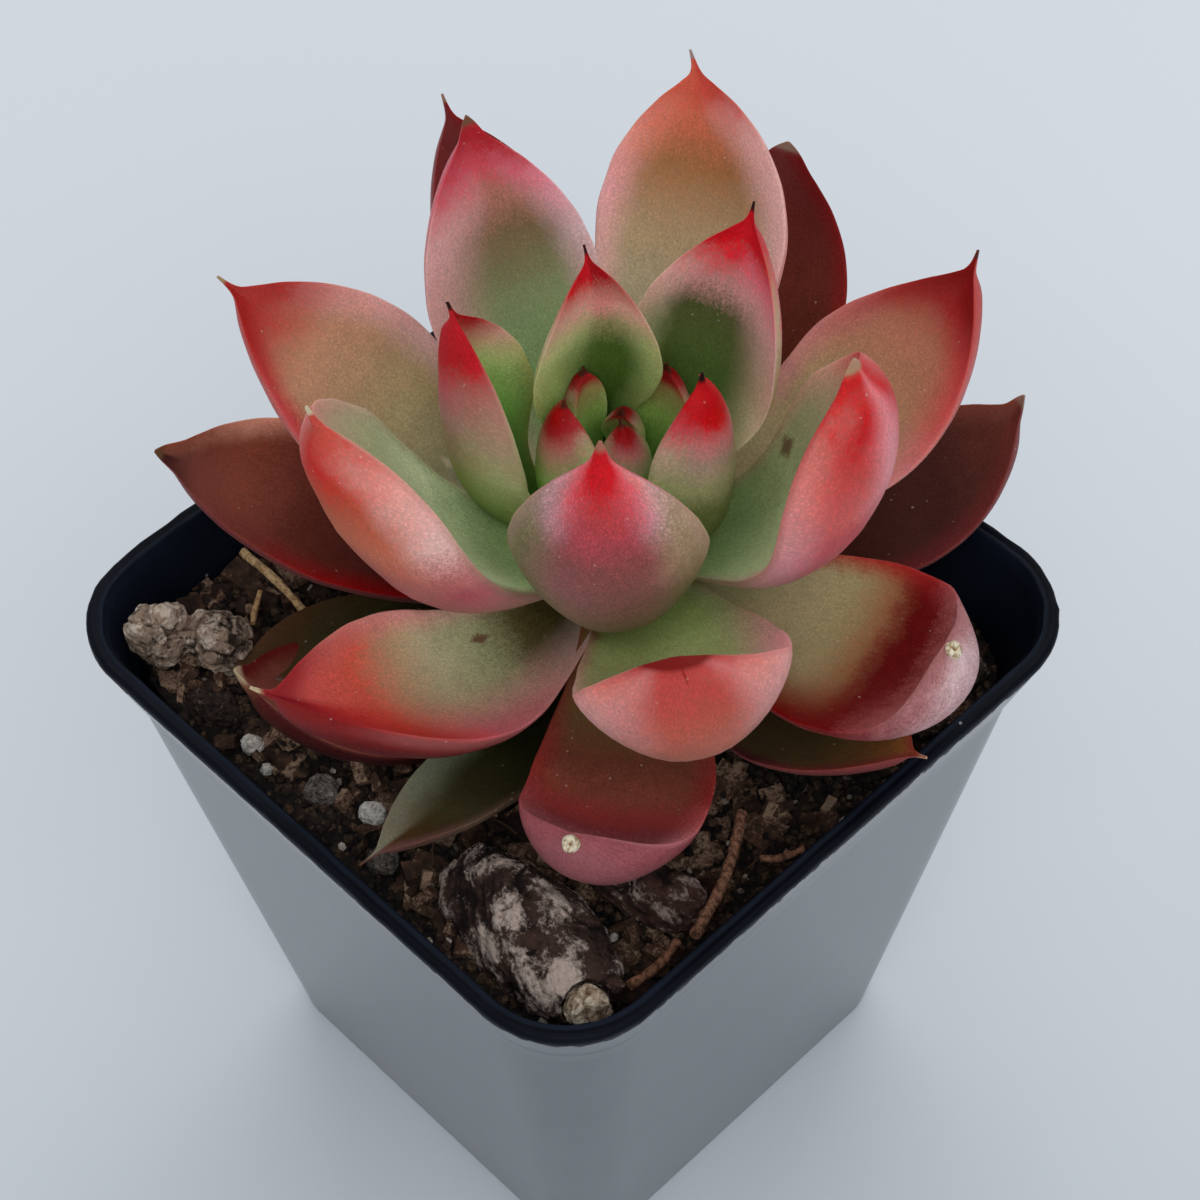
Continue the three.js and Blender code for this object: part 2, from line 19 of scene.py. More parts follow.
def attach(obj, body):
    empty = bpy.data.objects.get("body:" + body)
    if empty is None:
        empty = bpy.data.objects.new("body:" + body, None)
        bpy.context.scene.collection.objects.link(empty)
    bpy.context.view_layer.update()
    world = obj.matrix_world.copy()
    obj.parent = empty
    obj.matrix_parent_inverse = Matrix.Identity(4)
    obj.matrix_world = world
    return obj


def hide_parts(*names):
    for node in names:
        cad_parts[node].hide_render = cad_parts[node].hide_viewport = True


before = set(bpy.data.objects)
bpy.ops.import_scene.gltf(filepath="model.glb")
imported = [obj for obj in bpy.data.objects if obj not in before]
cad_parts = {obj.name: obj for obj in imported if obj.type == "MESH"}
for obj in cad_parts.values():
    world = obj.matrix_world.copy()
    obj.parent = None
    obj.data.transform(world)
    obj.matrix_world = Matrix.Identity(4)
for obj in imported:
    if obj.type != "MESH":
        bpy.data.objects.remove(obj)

MM = 0.001
HALF_TURN, FULL_TURN = 3.142, 6.283
BODY = "root"
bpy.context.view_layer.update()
LOG = logging.getLogger("echeveria")

Socket = Any
Array = np.ndarray
Piece = bpy.types.Object
Colour = tuple[float, float, float, float]
Place = tuple[float, float, float]
Paint = tuple[Socket, Any, Socket | None]


# Colour, profiles and meshes


def srgb(code: str) -> Colour:
    """Turns a colour as seen into the shader's linear value.

    Args:
        code: Six hexadecimal digits, red first.

    Returns:
        Red, green, blue and an alpha of one.
    """
    parts = [int(code[k : k + 2], 16) / 255 for k in (0, 2, 4)]
    linear = [p / 12.92 if p <= 0.04045 else ((p + 0.055) / 1.055) ** 2.4 for p in parts]
    return (linear[0], linear[1], linear[2], 1.0)


def smooth_profile(points: Sequence[tuple[float, float]], places: Array) -> Array:
    """Runs a smooth curve that never overshoots through a few points.

    Args:
        points: Place and value of each point, in rising order of place.
        places: Where the curve is wanted.

    Returns:
        The curve's values.
    """
    at, value = np.array(points, float).T
    width = np.diff(at)
    rise = np.diff(value) / width
    slope = np.zeros(len(at))
    slope[0], slope[-1] = rise[0], rise[-1]
    for k in range(1, len(at) - 1):
        if rise[k - 1] * rise[k] > 0:
            slope[k] = 2 / (1 / rise[k - 1] + 1 / rise[k])
    span = np.clip(np.searchsorted(at, places, side="right") - 1, 0, len(at) - 2)
    s = (places - at[span]) / width[span]
    low, high = value[span], value[span + 1]
    bend_in, bend_out = slope[span] * width[span], slope[span + 1] * width[span]
    return (
        low * (1 + 2 * s) * (1 - s) ** 2
        + bend_in * s * (1 - s) ** 2
        + high * s * s * (3 - 2 * s)
        + bend_out * s * s * (s - 1)
    )


def ease(value: Array, low: float, high: float) -> Array:
    """Steps smoothly from nought at low to one at high."""
    s = np.clip((value - low) / (high - low), 0, 1)
    return s * s * (3 - 2 * s)


def noise_at(points: Array, size: float, seed: float = 0.0, octaves: int = 1) -> Array:
    """Samples a soft noise at points.

    Args:
        points: Places in millimetres, three to a row.
        size: Size of the noise's lumps in millimetres.
        seed: Shift that picks another part of the noise.
        octaves: How many finer layers are added, each at half the size and strength.

    Returns:
        One value a point, mostly between minus one and one.
    """
    total = np.zeros(len(points))
    for layer in range(octaves):
        scale = 2**layer / size
        moved = points * scale + seed + 7.3 * layer
        total += np.array([noise.noise(Vector(p)) for p in moved]) / 2**layer
    return total


def linked(name: str, data: Any) -> Piece:
    """Makes an object from its data and links it to the scene."""
    body = bpy.data.objects.new(name, data)
    bpy.context.scene.collection.objects.link(body)
    return body


def dressed(body: Piece, material: bpy.types.Material) -> Piece:
    """Gives a piece its one material."""
    body.data.materials.clear()
    body.data.materials.append(material)
    return body


def mesh_object(
    name: str, points: Array, faces: Sequence[Sequence[int]], values: dict[str, Array] | None = None
) -> Piece:
    """Makes a smooth mesh object at the origin.

    Args:
        name: The object's name.
        points: Places in millimetres.
        faces: Point numbers of each face, anticlockwise from outside.
        values: Named values, one a point, kept as attributes.

    Returns:
        The object, linked to the scene.
    """
    mesh = bpy.data.meshes.new(name)
    mesh.from_pydata((np.asarray(points) * MM).tolist(), [], [list(f) for f in faces])
    mesh.polygons.foreach_set("use_smooth", [True] * len(mesh.polygons))
    for key, value in (values or {}).items():
        attribute = mesh.attributes.new(key, "FLOAT", "POINT")
        attribute.data.foreach_set("value", np.asarray(value, np.float32))
    mesh.update()
    return linked(name, mesh)


def loft(rings: Array) -> tuple[Array, list[list[int]]]:
    """Closes a skin over rings of points and caps both ends.

    Args:
        rings: Rings by points by three, in millimetres.

    Returns:
        The points and the faces.
    """
    count, sides = rings.shape[:2]
    points = rings.reshape(-1, 3)
    foot, head = len(points), len(points) + 1
    points = np.vstack([points, rings[0].mean(0), rings[-1].mean(0)])
    faces = []
    for ring in range(count - 1):
        for k in range(sides):
            a, b = ring * sides + k, ring * sides + (k + 1) % sides
            faces.append([a, b, b + sides, a + sides])
    last = (count - 1) * sides
    for k in range(sides):
        faces.append([foot, (k + 1) % sides, k])
        faces.append([head, last + k, last + (k + 1) % sides])
    return points, faces


def plain_mesh(body: Piece) -> None:
    """Turns an object and its live modifiers into one plain mesh."""
    made = evaluated(body)
    body.modifiers.clear()
    body.data = made


def evaluated(body: Piece) -> bpy.types.Mesh:
    """Gives an object's shape, with its live modifiers, as a new mesh."""
    graph = bpy.context.evaluated_depsgraph_get()
    made = bpy.data.meshes.new_from_object(body.evaluated_get(graph))
    made.name = body.name
    return made


def hand_in(body: Piece, slot: str, *nodes: str) -> None:
    """Ties a finished piece to the frame and reports it.

    Args:
        body: The finished piece.
        slot: The record's material slot.
        *nodes: The CAD nodes that it stands for.
    """
    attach(body, BODY)
    if nodes:
        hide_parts(*nodes)
    triangles = sum(len(face.vertices) - 2 for face in body.data.polygons)
    LOG.info("%s: %d triangles, slot %s, for %s", body.name, triangles, slot, nodes or "itself")


# Node graphs


class Graph:
    """Nodes and links of one material or one geometry tree."""

    def __init__(self, tree: bpy.types.NodeTree) -> None:
        """Starts on an empty tree, with no gloss of its own."""
        self.coat: Any = 0.0
        self.tree = tree
        tree.nodes.clear()

    def put(self, socket: Socket, value: Any) -> None:
        """Links a socket to another, or sets its plain value."""
        if isinstance(value, bpy.types.NodeSocket):
            self.tree.links.new(value, socket)
        elif value is not None:
            socket.default_value = value

    def node(self, kind: str, inputs: dict[Any, Any] | None = None, **settings: Any) -> Any:
        """Adds a node.

        Args:
            kind: The node's type.
            inputs: Values or sockets for its inputs, by name or number.
            **settings: The node's own settings.

        Returns:
            The node.
        """
        made = self.tree.nodes.new(kind)
        for key, value in settings.items():
            setattr(made, key, value)
        for key, value in (inputs or {}).items():
            self.put(made.inputs[key], value)
        return made

    def out(self, kind: str, inputs: dict[Any, Any] | None = None, **settings: Any) -> Socket:
        """Adds a node and gives its first output."""
        return self.node(kind, inputs, **settings).outputs[0]

    def math(self, operation: str, a: Any, b: Any = 0.0, c: Any = 0.0) -> Socket:
        """Works out one value from up to three."""
        return self.out("ShaderNodeMath", {0: a, 1: b, 2: c}, operation=operation)

    def times(self, a: Any, b: Any) -> Socket:
        """Multiplies two values."""
        return self.math("MULTIPLY", a, b)

    def gap(self, a: Any, b: Any) -> Socket:
        """Gives how far two values are apart."""
        return self.math("ABSOLUTE", self.math("SUBTRACT", a, b))

    def step(self, value: Any, low: Any, high: Any) -> Socket:
        """Steps smoothly from nought at low to one at high, which may be the lower of the two."""
        inputs = {"Value": value, "From Min": low, "From Max": high, "To Min": 0.0, "To Max": 1.0}
        return self.out("ShaderNodeMapRange", inputs, interpolation_type="SMOOTHSTEP")

    def mix(self, share: Any, a: Any, b: Any, blend: str = "MIX") -> Socket:
        """Mixes two colours."""
        made = self.node("ShaderNodeMix", data_type="RGBA", blend_type=blend)
        self.put(made.inputs["Factor"], share)
        self.put(made.inputs[6], a)
        self.put(made.inputs[7], b)
        return made.outputs[2]

    def sum(self, base: Any, *parts: tuple[Any, float]) -> Socket:
        """Adds weighted values to a base."""
        total = base
        for value, weight in parts:
            total = self.math("MULTIPLY_ADD", value, weight, total)
        return total

    def lean(self, value: Socket) -> Socket:
        """Centres a noise on nought."""
        return self.math("SUBTRACT", value, 0.5)

    def ramp(self, share: Socket, stops: dict[float, Colour]) -> Socket:
        """Runs through several colours.

        Args:
            share: Where on the run, from nought to one.
            stops: Colours by place.

        Returns:
            The colour.
        """
        made = self.node("ShaderNodeValToRGB", {"Fac": share})
        elements = made.color_ramp.elements
        elements.remove(elements[1])
        for number, (place, colour) in enumerate(sorted(stops.items())):
            element = elements[0] if number == 0 else elements.new(place)
            element.position = place
            element.color = colour
        return made.outputs["Color"]

    def attribute(self, name: str) -> Socket:
        """Reads a value that the mesh carries."""
        return self.node("ShaderNodeAttribute", attribute_name=name).outputs["Fac"]

    def place(self) -> Socket:
        """Reads the place on the piece, in metres."""
        return self.node("ShaderNodeTexCoord").outputs["Object"]

    def noise(
        self,
        vector: Socket,
        size: float,
        detail: float = 2.0,
        rough: float = 0.5,
        warp: float = 0.0,
    ) -> Socket:
        """Adds a noise whose lumps have a size in millimetres."""
        inputs = {"Vector": vector, "Scale": 1 / (size * MM), "Detail": detail}
        return self.out("ShaderNodeTexNoise", inputs | {"Roughness": rough, "Distortion": warp})

    def swing(self, vector: Socket, size: float, detail: float, rough: float) -> Socket:
        """Adds a noise that swings about nought."""
        return self.lean(self.noise(vector, size, detail, rough))

    def cells(self, vector: Socket, size: float) -> Any:
        """Adds a cell pattern whose cells have a size in millimetres."""
        inputs = {"Vector": vector, "Scale": 1 / (size * MM)}
        return self.node("ShaderNodeTexVoronoi", inputs).outputs

    def flecks(
        self, vector: Socket, size: float, chance: tuple[float, float], reach: tuple[float, float]
    ) -> Socket:
        """Dots a few of the cells of a pattern.

        Args:
            vector: The pattern's coordinates.
            size: The cells' size in millimetres.
            chance: Which cells get a dot, as the soft step of a random share.
            reach: The dots' soft edge, as shares of a cell.

        Returns:
            One on the dots and nought elsewhere.
        """
        cells = self.cells(vector, size)
        chosen = self.step(cells["Color"], *chance)
        return self.times(self.step(cells["Distance"], *reach), chosen)

    def stretch(self, vector: Socket, scale: Place, turn: Place = (0, 0, 0)) -> Socket:
        """Stretches and turns a pattern's coordinates, the turn in degrees."""
        inputs = {"Vector": vector, "Scale": scale, "Rotation": [math.radians(v) for v in turn]}
        return self.out("ShaderNodeMapping", inputs)

    def shaded(self, colour: Socket, shade: Socket) -> Socket:
        """Darkens or lightens a colour by a plain value."""
        grey = self.out("ShaderNodeCombineColor", {0: shade, 1: shade, 2: shade})
        return self.mix(1.0, colour, grey, "MULTIPLY")


class Growth(Graph):
    """A geometry tree with named sizes, which makes what repeats or follows a route."""

    def __init__(self, name: str, sizes: dict[str, float]) -> None:
        """Opens the tree with its geometry and its named sizes."""
        super().__init__(bpy.data.node_groups.new(name, "GeometryNodeTree"))
        face = self.tree.interface
        face.new_socket("Geometry", in_out="INPUT", socket_type="NodeSocketGeometry")
        for key, value in sizes.items():
            size = face.new_socket(key, in_out="INPUT", socket_type="NodeSocketFloat")
            size.default_value = value
        face.new_socket("Geometry", in_out="OUTPUT", socket_type="NodeSocketGeometry")
        self.given = self.node("NodeGroupInput").outputs

    def spots(self, room: Socket, seed: int) -> Socket:
        """Strews points over the bed, with some room to the wall."""
        inner = self.out("GeometryNodeInputNamedAttribute", {"Name": "inner"}, data_type="FLOAT")
        clear = self.math("GREATER_THAN", inner, room)
        dense = self.times(self.times(self.given["Density"], 1 / MM**2), clear)
        inputs = {"Mesh": self.given["Geometry"], "Density": dense, "Seed": seed}
        return self.out("GeometryNodeDistributePointsOnFaces", inputs)

    def draw(self, seed: int, low: Any, high: Any) -> Socket:
        """Draws a value, or a vector, for each point."""
        kind = "FunctionNodeRandomValue"
        if isinstance(low, tuple):
            return self.out(kind, {0: low, 1: high, "Seed": seed}, data_type="FLOAT_VECTOR")
        return self.node(kind, {2: low, 3: high, "Seed": seed}, data_type="FLOAT").outputs[1]

    def lay(self, spots: Socket, bit: Socket, turn: Socket, size: Socket) -> Socket:
        """Lays a bit on each point."""
        inputs = {"Points": spots, "Instance": bit, "Rotation": turn, "Scale": size}
        return self.out("GeometryNodeInstanceOnPoints", inputs)

    def tube(self, line: Socket, sides: int, radius: str) -> Socket:
        """Sweeps a ring, whose radius is a named size, along a line."""
        inputs = {"Resolution": sides, "Radius": self.times(self.given[radius], MM)}
        ring = self.out("GeometryNodeCurvePrimitiveCircle", inputs)
        inputs = {"Curve": line, "Profile Curve": ring, "Fill Caps": True}
        return self.out("GeometryNodeCurveToMesh", inputs)

    def pushed(self, solid: Socket, way: Socket, reach: Any) -> Socket:
        """Moves each point of a mesh along a vector."""
        offset = self.out("ShaderNodeVectorMath", {0: way, "Scale": reach}, operation="SCALE")
        return self.out("GeometryNodeSetPosition", {"Geometry": solid, "Offset": offset})

    def grown(self, name: str, data: Any, solid: Socket, finish: bpy.types.Material) -> Piece:
        """Closes the tree, runs it and keeps the result as a plain mesh.

        Args:
            name: The piece's name.
            data: The mesh or curve that the tree runs on.
            solid: What the tree has made.
            finish: The piece's material.

        Returns:
            The piece.
        """
        solid = self.out("GeometryNodeRealizeInstances", {"Geometry": solid})
        done = self.out("GeometryNodeSetMaterial", {"Geometry": solid, "Material": finish})
        self.node("NodeGroupOutput", {"Geometry": done})
        holder = linked(name, data)
        modifier = holder.modifiers.new(name, "NODES")
        modifier.node_group = self.tree
        for item in self.tree.interface.items_tree:
            if item.in_out == "INPUT" and item.socket_type == "NodeSocketFloat":
                modifier[item.identifier] = item.default_value
        made = evaluated(holder)
        bpy.data.objects.remove(holder)
        return dressed(linked(name, made), finish)


@dataclass(frozen=True)
class Surface:
    """How a finish takes light, the same all over a piece."""

    specular: float = 0.5
    sheen: float = 0.0
    sheen_tint: str = "ffffff"
    coat_roughness: float = 0.28
    inner_light: float = 0.0
    inner_reach: Place = (1.0, 0.4, 0.2)

    def material(
        self, name: str, paint: Callable[[Graph], Paint], relief: float
    ) -> bpy.types.Material:
        """Builds a material from a painter.

        Args:
            name: The material's name.
            paint: Returns the colour, roughness and height on a graph.
            relief: How far the height moves the surface, in millimetres.

        Returns:
            The material.
        """
        material = bpy.data.materials.new(name)
        material.use_nodes = True
        graph = Graph(material.node_tree)
        colour, roughness, height = paint(graph)
        inputs = {
            "Base Color": colour,
            "Roughness": roughness,
            "Specular IOR Level": self.specular,
            "Sheen Weight": self.sheen,
            "Sheen Tint": srgb(self.sheen_tint),
            "Coat Weight": graph.coat,
            "Coat Roughness": self.coat_roughness,
            "Subsurface Weight": self.inner_light,
            "Subsurface Radius": self.inner_reach,
            "Subsurface Scale": MM,
        }
        if height is not None:
            bump = {"Height": height, "Distance": relief * MM, "Strength": 1.0}
            inputs["Normal"] = graph.out("ShaderNodeBump", bump)
        shader = graph.out("ShaderNodeBsdfPrincipled", inputs)
        graph.node("ShaderNodeOutputMaterial", {"Surface": shader})
        return material


# Leaves


class TipKind(Enum):
    """What a leaf ends in."""

    SPINE = "a fine dark spine"
    STRAW = "a dry straw-coloured point"
    KNOB = "a dried round knob where the point broke off"


Run = dict[float, str]
Spots = tuple[tuple[float, float, float, str], ...]


@dataclass(frozen=True)
class Skin:
    """Colours of a leaf's two faces from foot to tip, and how wide its rims are in millimetres.

    Each run gives the colour seen at a few places along the leaf. The rims of the upper face may
    differ: right is the side that lies anticlockwise from the leaf's heading, seen from above.
    """

    upper: Run
    right: Run
    left: Run
    lower: Run
    lower_rim: Run
    rim_width: float = 3.0
    right_width: float = 3.0
    lower_width: float = 2.0
    lift: float = 1.3
    grain: float = 0.8
    pores: float = 0.18
    keel: float = 0.06
    edge: str = "e0b4ac"
    edge_share: float = 0.16
    point: str = "3a1c18"
    scars: Spots = ()
    # Patches on the lower face: the leaf's own blush, painted sheen or painted shade
    blush_sheen_and_shade: Spots = ()
    soft_light: float = 1.36
    palest: float = 0.9
    relief: float = 0.05

    def material(self, name: str) -> bpy.types.Material:
        """Makes the leaf's material."""
        wax = Surface(0.1, 0.03, "f6dfe2", inner_light=0.25, inner_reach=(1.8, 0.6, 0.4))
        return wax.material(name, self.paint, self.relief)

    def tone(self, code: str) -> Colour:
        """Turns a colour as seen in soft light into the skin's own colour."""
        seen = [self.soft_light * part * self.lift for part in srgb(code)[:3]]
        clamp = min(1.0, self.palest / max(seen))
        return tuple(part * clamp for part in seen) + (1.0,)

    def ramp(self, graph: Graph, share: Socket, run: Run) -> Socket:
        """Colours a run from foot to tip."""
        return graph.ramp(share, {place: self.tone(code) for place, code in run.items()})

    def paint(self, graph: Graph) -> Paint:
        """Paints blushes, grain and specks over both faces.

        Args:
            graph: The material's graph.

        Returns:
            Colour, roughness and height.
        """
        place = graph.place()
        along, across = graph.attribute("along"), graph.attribute("across")
        inset, under = graph.attribute("inset"), graph.attribute("under")
        flow = graph.out("ShaderNodeUVMap", uv_map="blade")
        cloud = graph.swing(place, 5.0, 3, 0.5)
        mottle = graph.swing(place, 1.5, 3, 0.6)
        streak = graph.swing(graph.stretch(flow, (1, 0.2, 1)), 0.42, 3, 0.65)
        grain = graph.swing(place, 0.26, 2, 0.75)

        # Blushes fade along the leaf in clouds, streaks and dots
        travel = graph.sum(along, (cloud, 0.07), (mottle, 0.05), (streak, 0.05), (grain, 0.08))
        ragged = graph.sum(inset, (cloud, 1.8), (mottle, 1.2), (streak, 0.5), (grain, 0.7))
        widen = graph.math("MULTIPLY_ADD", along, 0.9, 0.4)
        # Pale rims: the margins' own blush, made paler in part with painted light, the sheen on the
        # waxy edges and the glow of light through them
        sides = []
        for width, run in ((self.rim_width, self.left), (self.right_width, self.right)):
            rim = graph.step(ragged, graph.times(widen, width), 0.0)
            middle = self.ramp(graph, travel, self.upper)
            sides.append(graph.mix(rim, middle, self.ramp(graph, travel, run)))
        upper = graph.mix(graph.step(across, -0.15, 0.15), *sides)
        travel = graph.sum(travel, (graph.times(across, across), -self.keel))
        lower_rim = graph.step(ragged, self.lower_width, 0.0)
        lower = self.ramp(graph, travel, self.lower)
        lower = graph.mix(lower_rim, lower, self.ramp(graph, travel, self.lower_rim))
        # Pale patches on edges and ridges are painted sheen, dark ones are painted shade, the rest
        # are the leaf's own blush
        for patch_along, patch_across, strength, tint in self.blush_sheen_and_shade:
            away = graph.times(graph.gap(travel, patch_along), 2.5)
            soft = graph.sum(away, (graph.gap(across, patch_across), 1.3))
            soft = graph.times(graph.step(soft, 0.75, 0.1), strength)
            lower = graph.mix(soft, lower, self.tone(tint))
        colour = graph.mix(under, upper, lower)

        # Fine grain, pale specks, the thin clear edge and scars
        pore = graph.cells(graph.stretch(flow, (1, 0.7, 1)), 0.27)["Distance"]
        pore = graph.math("SUBTRACT", graph.step(pore, 0.6, 0.1), 0.4)
        fine = (grain, self.grain), (pore, self.pores)
        broad = (streak, 0.35), (mottle, 0.25), (cloud, 0.2)
        colour = graph.shaded(colour, graph.sum(1.0, *fine, *broad))
        speck = graph.flecks(place, 0.8, (0.78, 0.92), (0.22, 0.1))
        colour = graph.mix(graph.times(speck, 0.35), colour, srgb("ecd9c6"))
        edge = graph.times(graph.step(inset, 1.1, 0.0), graph.step(along, 0.88, 0.74))
        colour = graph.mix(graph.times(edge, self.edge_share), colour, srgb(self.edge))
        for scar_along, scar_across, size, tint in self.scars:
            away = graph.times(graph.gap(along, scar_along), 1.6)
            aside = graph.gap(across, scar_across)
            away = graph.sum(away, (aside, 0.5), (streak, 0.04), (grain, 0.04))
            spot = graph.times(graph.step(away, size, 0.3 * size), 0.75)
            colour = graph.mix(spot, colour, self.tone(tint))
        colour = graph.mix(graph.attribute("point"), colour, srgb(self.point))

        rough = graph.math("MULTIPLY_ADD", grain, 0.2, 0.46)
        ripple = graph.noise(graph.stretch(flow, (1, 0.35, 1)), 0.2, 1, 0.5)
        return colour, rough, graph.sum(graph.noise(place, 0.3, 1, 0.5), (ripple, 0.7))


@dataclass
class Rosette:
    """The spiral that every leaf stands on, and the blade's common shape."""

    stem_x: float = -0.5
    stem_y: float = 8.0
    stem_top: float = 100.0
    stem_radius: float = 4.3
    stem_tip_radius: float = 2.5
    golden_turn: float = 137.5
    youngest_age: float = -6
    taper_ages: float = 12
    age_step: float = 0.65
    first_heading: float = 146.5
    root_length: float = 1.6
    root_pull: float = 0.38
    tip_pull: float = 0.33
    upper_share: float = 0.15
    least_half_width: float = 0.14
    point_reach: tuple[float, float] = (-1.25, -0.8)
    midline_samples: int = 401
    wave_size: float = 9.0
    least_flesh: float = 0.3
    face_edge: float = 7
    station_crowding: float = 1.25
    twist_range: tuple[float, float] = (0.55, 0.95)
    stations: int = 84
    sides: int = 44
    pointed: tuple[tuple[float, float], ...] = (
        (0, 0.48), (0.12, 0.5), (0.3, 0.7), (0.46, 0.92), (0.59, 1), (0.7, 0.91),
        (0.8, 0.69), (0.88, 0.4), (0.926, 0.17), (0.95, 0.062), (0.97, 0.03), (1, 0.012),
    )
    rounded: tuple[tuple[float, float], ...] = (
        (0, 0.48), (0.12, 0.5), (0.3, 0.68), (0.5, 0.92), (0.65, 1), (0.78, 0.99),
        (0.87, 0.88), (0.93, 0.68), (0.965, 0.46), (0.985, 0.27), (1, 0.03),
    )
    flesh: tuple[tuple[float, float], ...] = (
        (0, 0.34), (0.15, 0.62), (0.4, 1), (0.65, 0.92), (0.8, 0.72), (0.9, 0.46), (0.95, 0.12),
        (1, 0.05),
    )
    full_flesh: tuple[tuple[float, float], ...] = (
        (0, 0.34), (0.15, 0.62), (0.4, 1), (0.65, 0.95), (0.8, 0.86), (0.9, 0.72), (0.96, 0.46),
        (0.985, 0.2), (1, 0.05),
    )

    def foot(self, age: float) -> tuple[float, float]:
        """Finds where a leaf leaves the stem, as reach and height."""
        place = age - self.youngest_age
        taper = min(place, self.taper_ages) / self.taper_ages
        radius = self.stem_tip_radius + (self.stem_radius - self.stem_tip_radius) * taper
        return radius, self.stem_top - self.age_step * place


ROSETTE = Rosette()


@dataclass
class Leaf:
    """One leaf, by its age, its stray from the spiral and the run of its midline.

    Its heights, reaches and widths are in millimetres and its angles in degrees.
    """

    name: str
    age: float
    turn: float
    tip_at: tuple[float, float]
    rises: tuple[float, float]
    size: tuple[float, float]
    roll: float
    cup: float
    blunt: float
    bend: float
    skin: Skin
    tip: TipKind = TipKind.SPINE
    skew: float = 0.0
    twist: float = 0.0
    wave: float = 0.35

    def midline(self, places: Array) -> tuple[Array, Array, float]:
        """Runs the midline in the upright plane through the stem.

        Args:
            places: Shares of the midline's length.

        Returns:
            Its points and directions as reach and height, and its length.
        """
        foot, tip = np.array(ROSETTE.foot(self.age)), np.array(self.tip_at, float)
        chord = np.linalg.norm(tip - foot)
        angle_in, angle_out = (math.radians(v) for v in self.rises)
        way_in = np.array([math.cos(angle_in), math.sin(angle_in)])
        way_out = np.array([math.cos(angle_out), math.sin(angle_out)])
        leaving = foot + ROSETTE.root_pull * chord * way_in
        arriving = tip - ROSETTE.tip_pull * chord * way_out
        s = np.linspace(0, 1, ROSETTE.midline_samples)[:, None]
        line = foot * (1 - s) ** 3 + 3 * leaving * s * (1 - s) ** 2
        line = line + 3 * arriving * s**2 * (1 - s) + tip * s**3
        runs = np.concatenate([[0], np.cumsum(np.linalg.norm(np.diff(line, axis=0), axis=1))])
        wanted = places * runs[-1]
        points = np.column_stack([np.interp(wanted, runs, line[:, k]) for k in (0, 1)])
        ways = np.gradient(line, axis=0)
        ways /= np.linalg.norm(ways, axis=1)[:, None]
        ways = np.column_stack([np.interp(wanted, runs, ways[:, k]) for k in (0, 1)])
        return points, ways / np.linalg.norm(ways, axis=1)[:, None], float(runs[-1])

    def rings(self, places: Array) -> tuple[Array, dict[str, Array]]:
        """Sets the blade's rings along the midline.

        Args:
            places: Shares of the midline's length.

        Returns:
            The rings and the values that the skin reads.
        """
        points, ways, length = self.midline(places)
        heading = ROSETTE.first_heading - ROSETTE.golden_turn * self.age + self.turn
        heading = np.radians(heading + self.bend * places**2)
        out = np.column_stack([np.cos(heading), np.sin(heading), np.zeros_like(heading)])
        across = np.column_stack([-np.sin(heading), np.cos(heading), np.zeros_like(heading)])
        up = np.array([0, 0, 1.0])
        face = -ways[:, 1:] * out + ways[:, :1] * up
        twist = self.twist * ease(places, *ROSETTE.twist_range)
        roll = np.radians(self.roll * np.minimum(1, 2 * places) + twist)[:, None]
        side = across * np.cos(roll) + face * np.sin(roll)
        normal = -across * np.sin(roll) + face * np.cos(roll)
        lead = np.where(places == 0, ROSETTE.root_length, 0)[:, None]
        points = points - lead * ways
        stem = np.array([ROSETTE.stem_x, ROSETTE.stem_y, 0])
        middle = stem + out * points[:, :1] + up * points[:, 1:]
        width, thick = self.size
        share = (1 - self.blunt) * smooth_profile(ROSETTE.pointed, places)
        share += self.blunt * smooth_profile(ROSETTE.rounded, places)
        half = np.maximum(ROSETTE.least_half_width, width / 2 * share)[:, None]
        full = (1 - self.blunt) * smooth_profile(ROSETTE.flesh, places)
        full += self.blunt * smooth_profile(ROSETTE.full_flesh, places)
        flesh = np.maximum(ROSETTE.least_flesh, thick * full)[:, None]
        angle = 2 * np.pi * np.arange(ROSETTE.sides) / ROSETTE.sides
        x, rise = np.cos(angle)[None, :], np.sin(angle)[None, :]
        part = np.where(rise > 0, ROSETTE.upper_share, 1 - ROSETTE.upper_share)
        height = rise * flesh * part + self.cup * (1 + self.skew * np.sign(x)) * half * x * x
        waves = self.waves(places, half * x, length) * np.sin(np.pi * places)[:, None]
        height = (height + self.wave * waves)[..., None]
        aside = side[:, None, :] * (half * x)[..., None]
        rings = middle[:, None, :] + aside + normal[:, None, :] * height
        pointed = 0.0 if self.tip is TipKind.KNOB else 1.0
        values = {
            "along": places[:, None],
            "across": x,
            "inset": half * (1 - np.abs(x)),
            "under": 0.5 - 0.5 * np.clip(rise * ROSETTE.face_edge, -1, 1),
            "point": pointed * ease((places - 1) * length, *ROSETTE.point_reach)[:, None],
        }
        shape = (len(places), ROSETTE.sides)
        return rings, {key: np.broadcast_to(value, shape) for key, value in values.items()}

    def waves(self, places: Array, aside: Array, length: float) -> Array:
        """Gives the blade its slow, uneven undulation.

        Args:
            places: Shares of the midline's length.
            aside: Distance across the blade at each point.
            length: The midline's length.

        Returns:
            Heights of the undulation, between about minus one and one.
        """
        grid = np.broadcast_to((places * length)[:, None], aside.shape)
        points = np.column_stack([grid.ravel(), aside.ravel(), np.full(aside.size, 3.1 * self.age)])
        made = noise_at(points, ROSETTE.wave_size, 0.37 * self.age + 11, 2)
        return made.reshape(aside.shape)

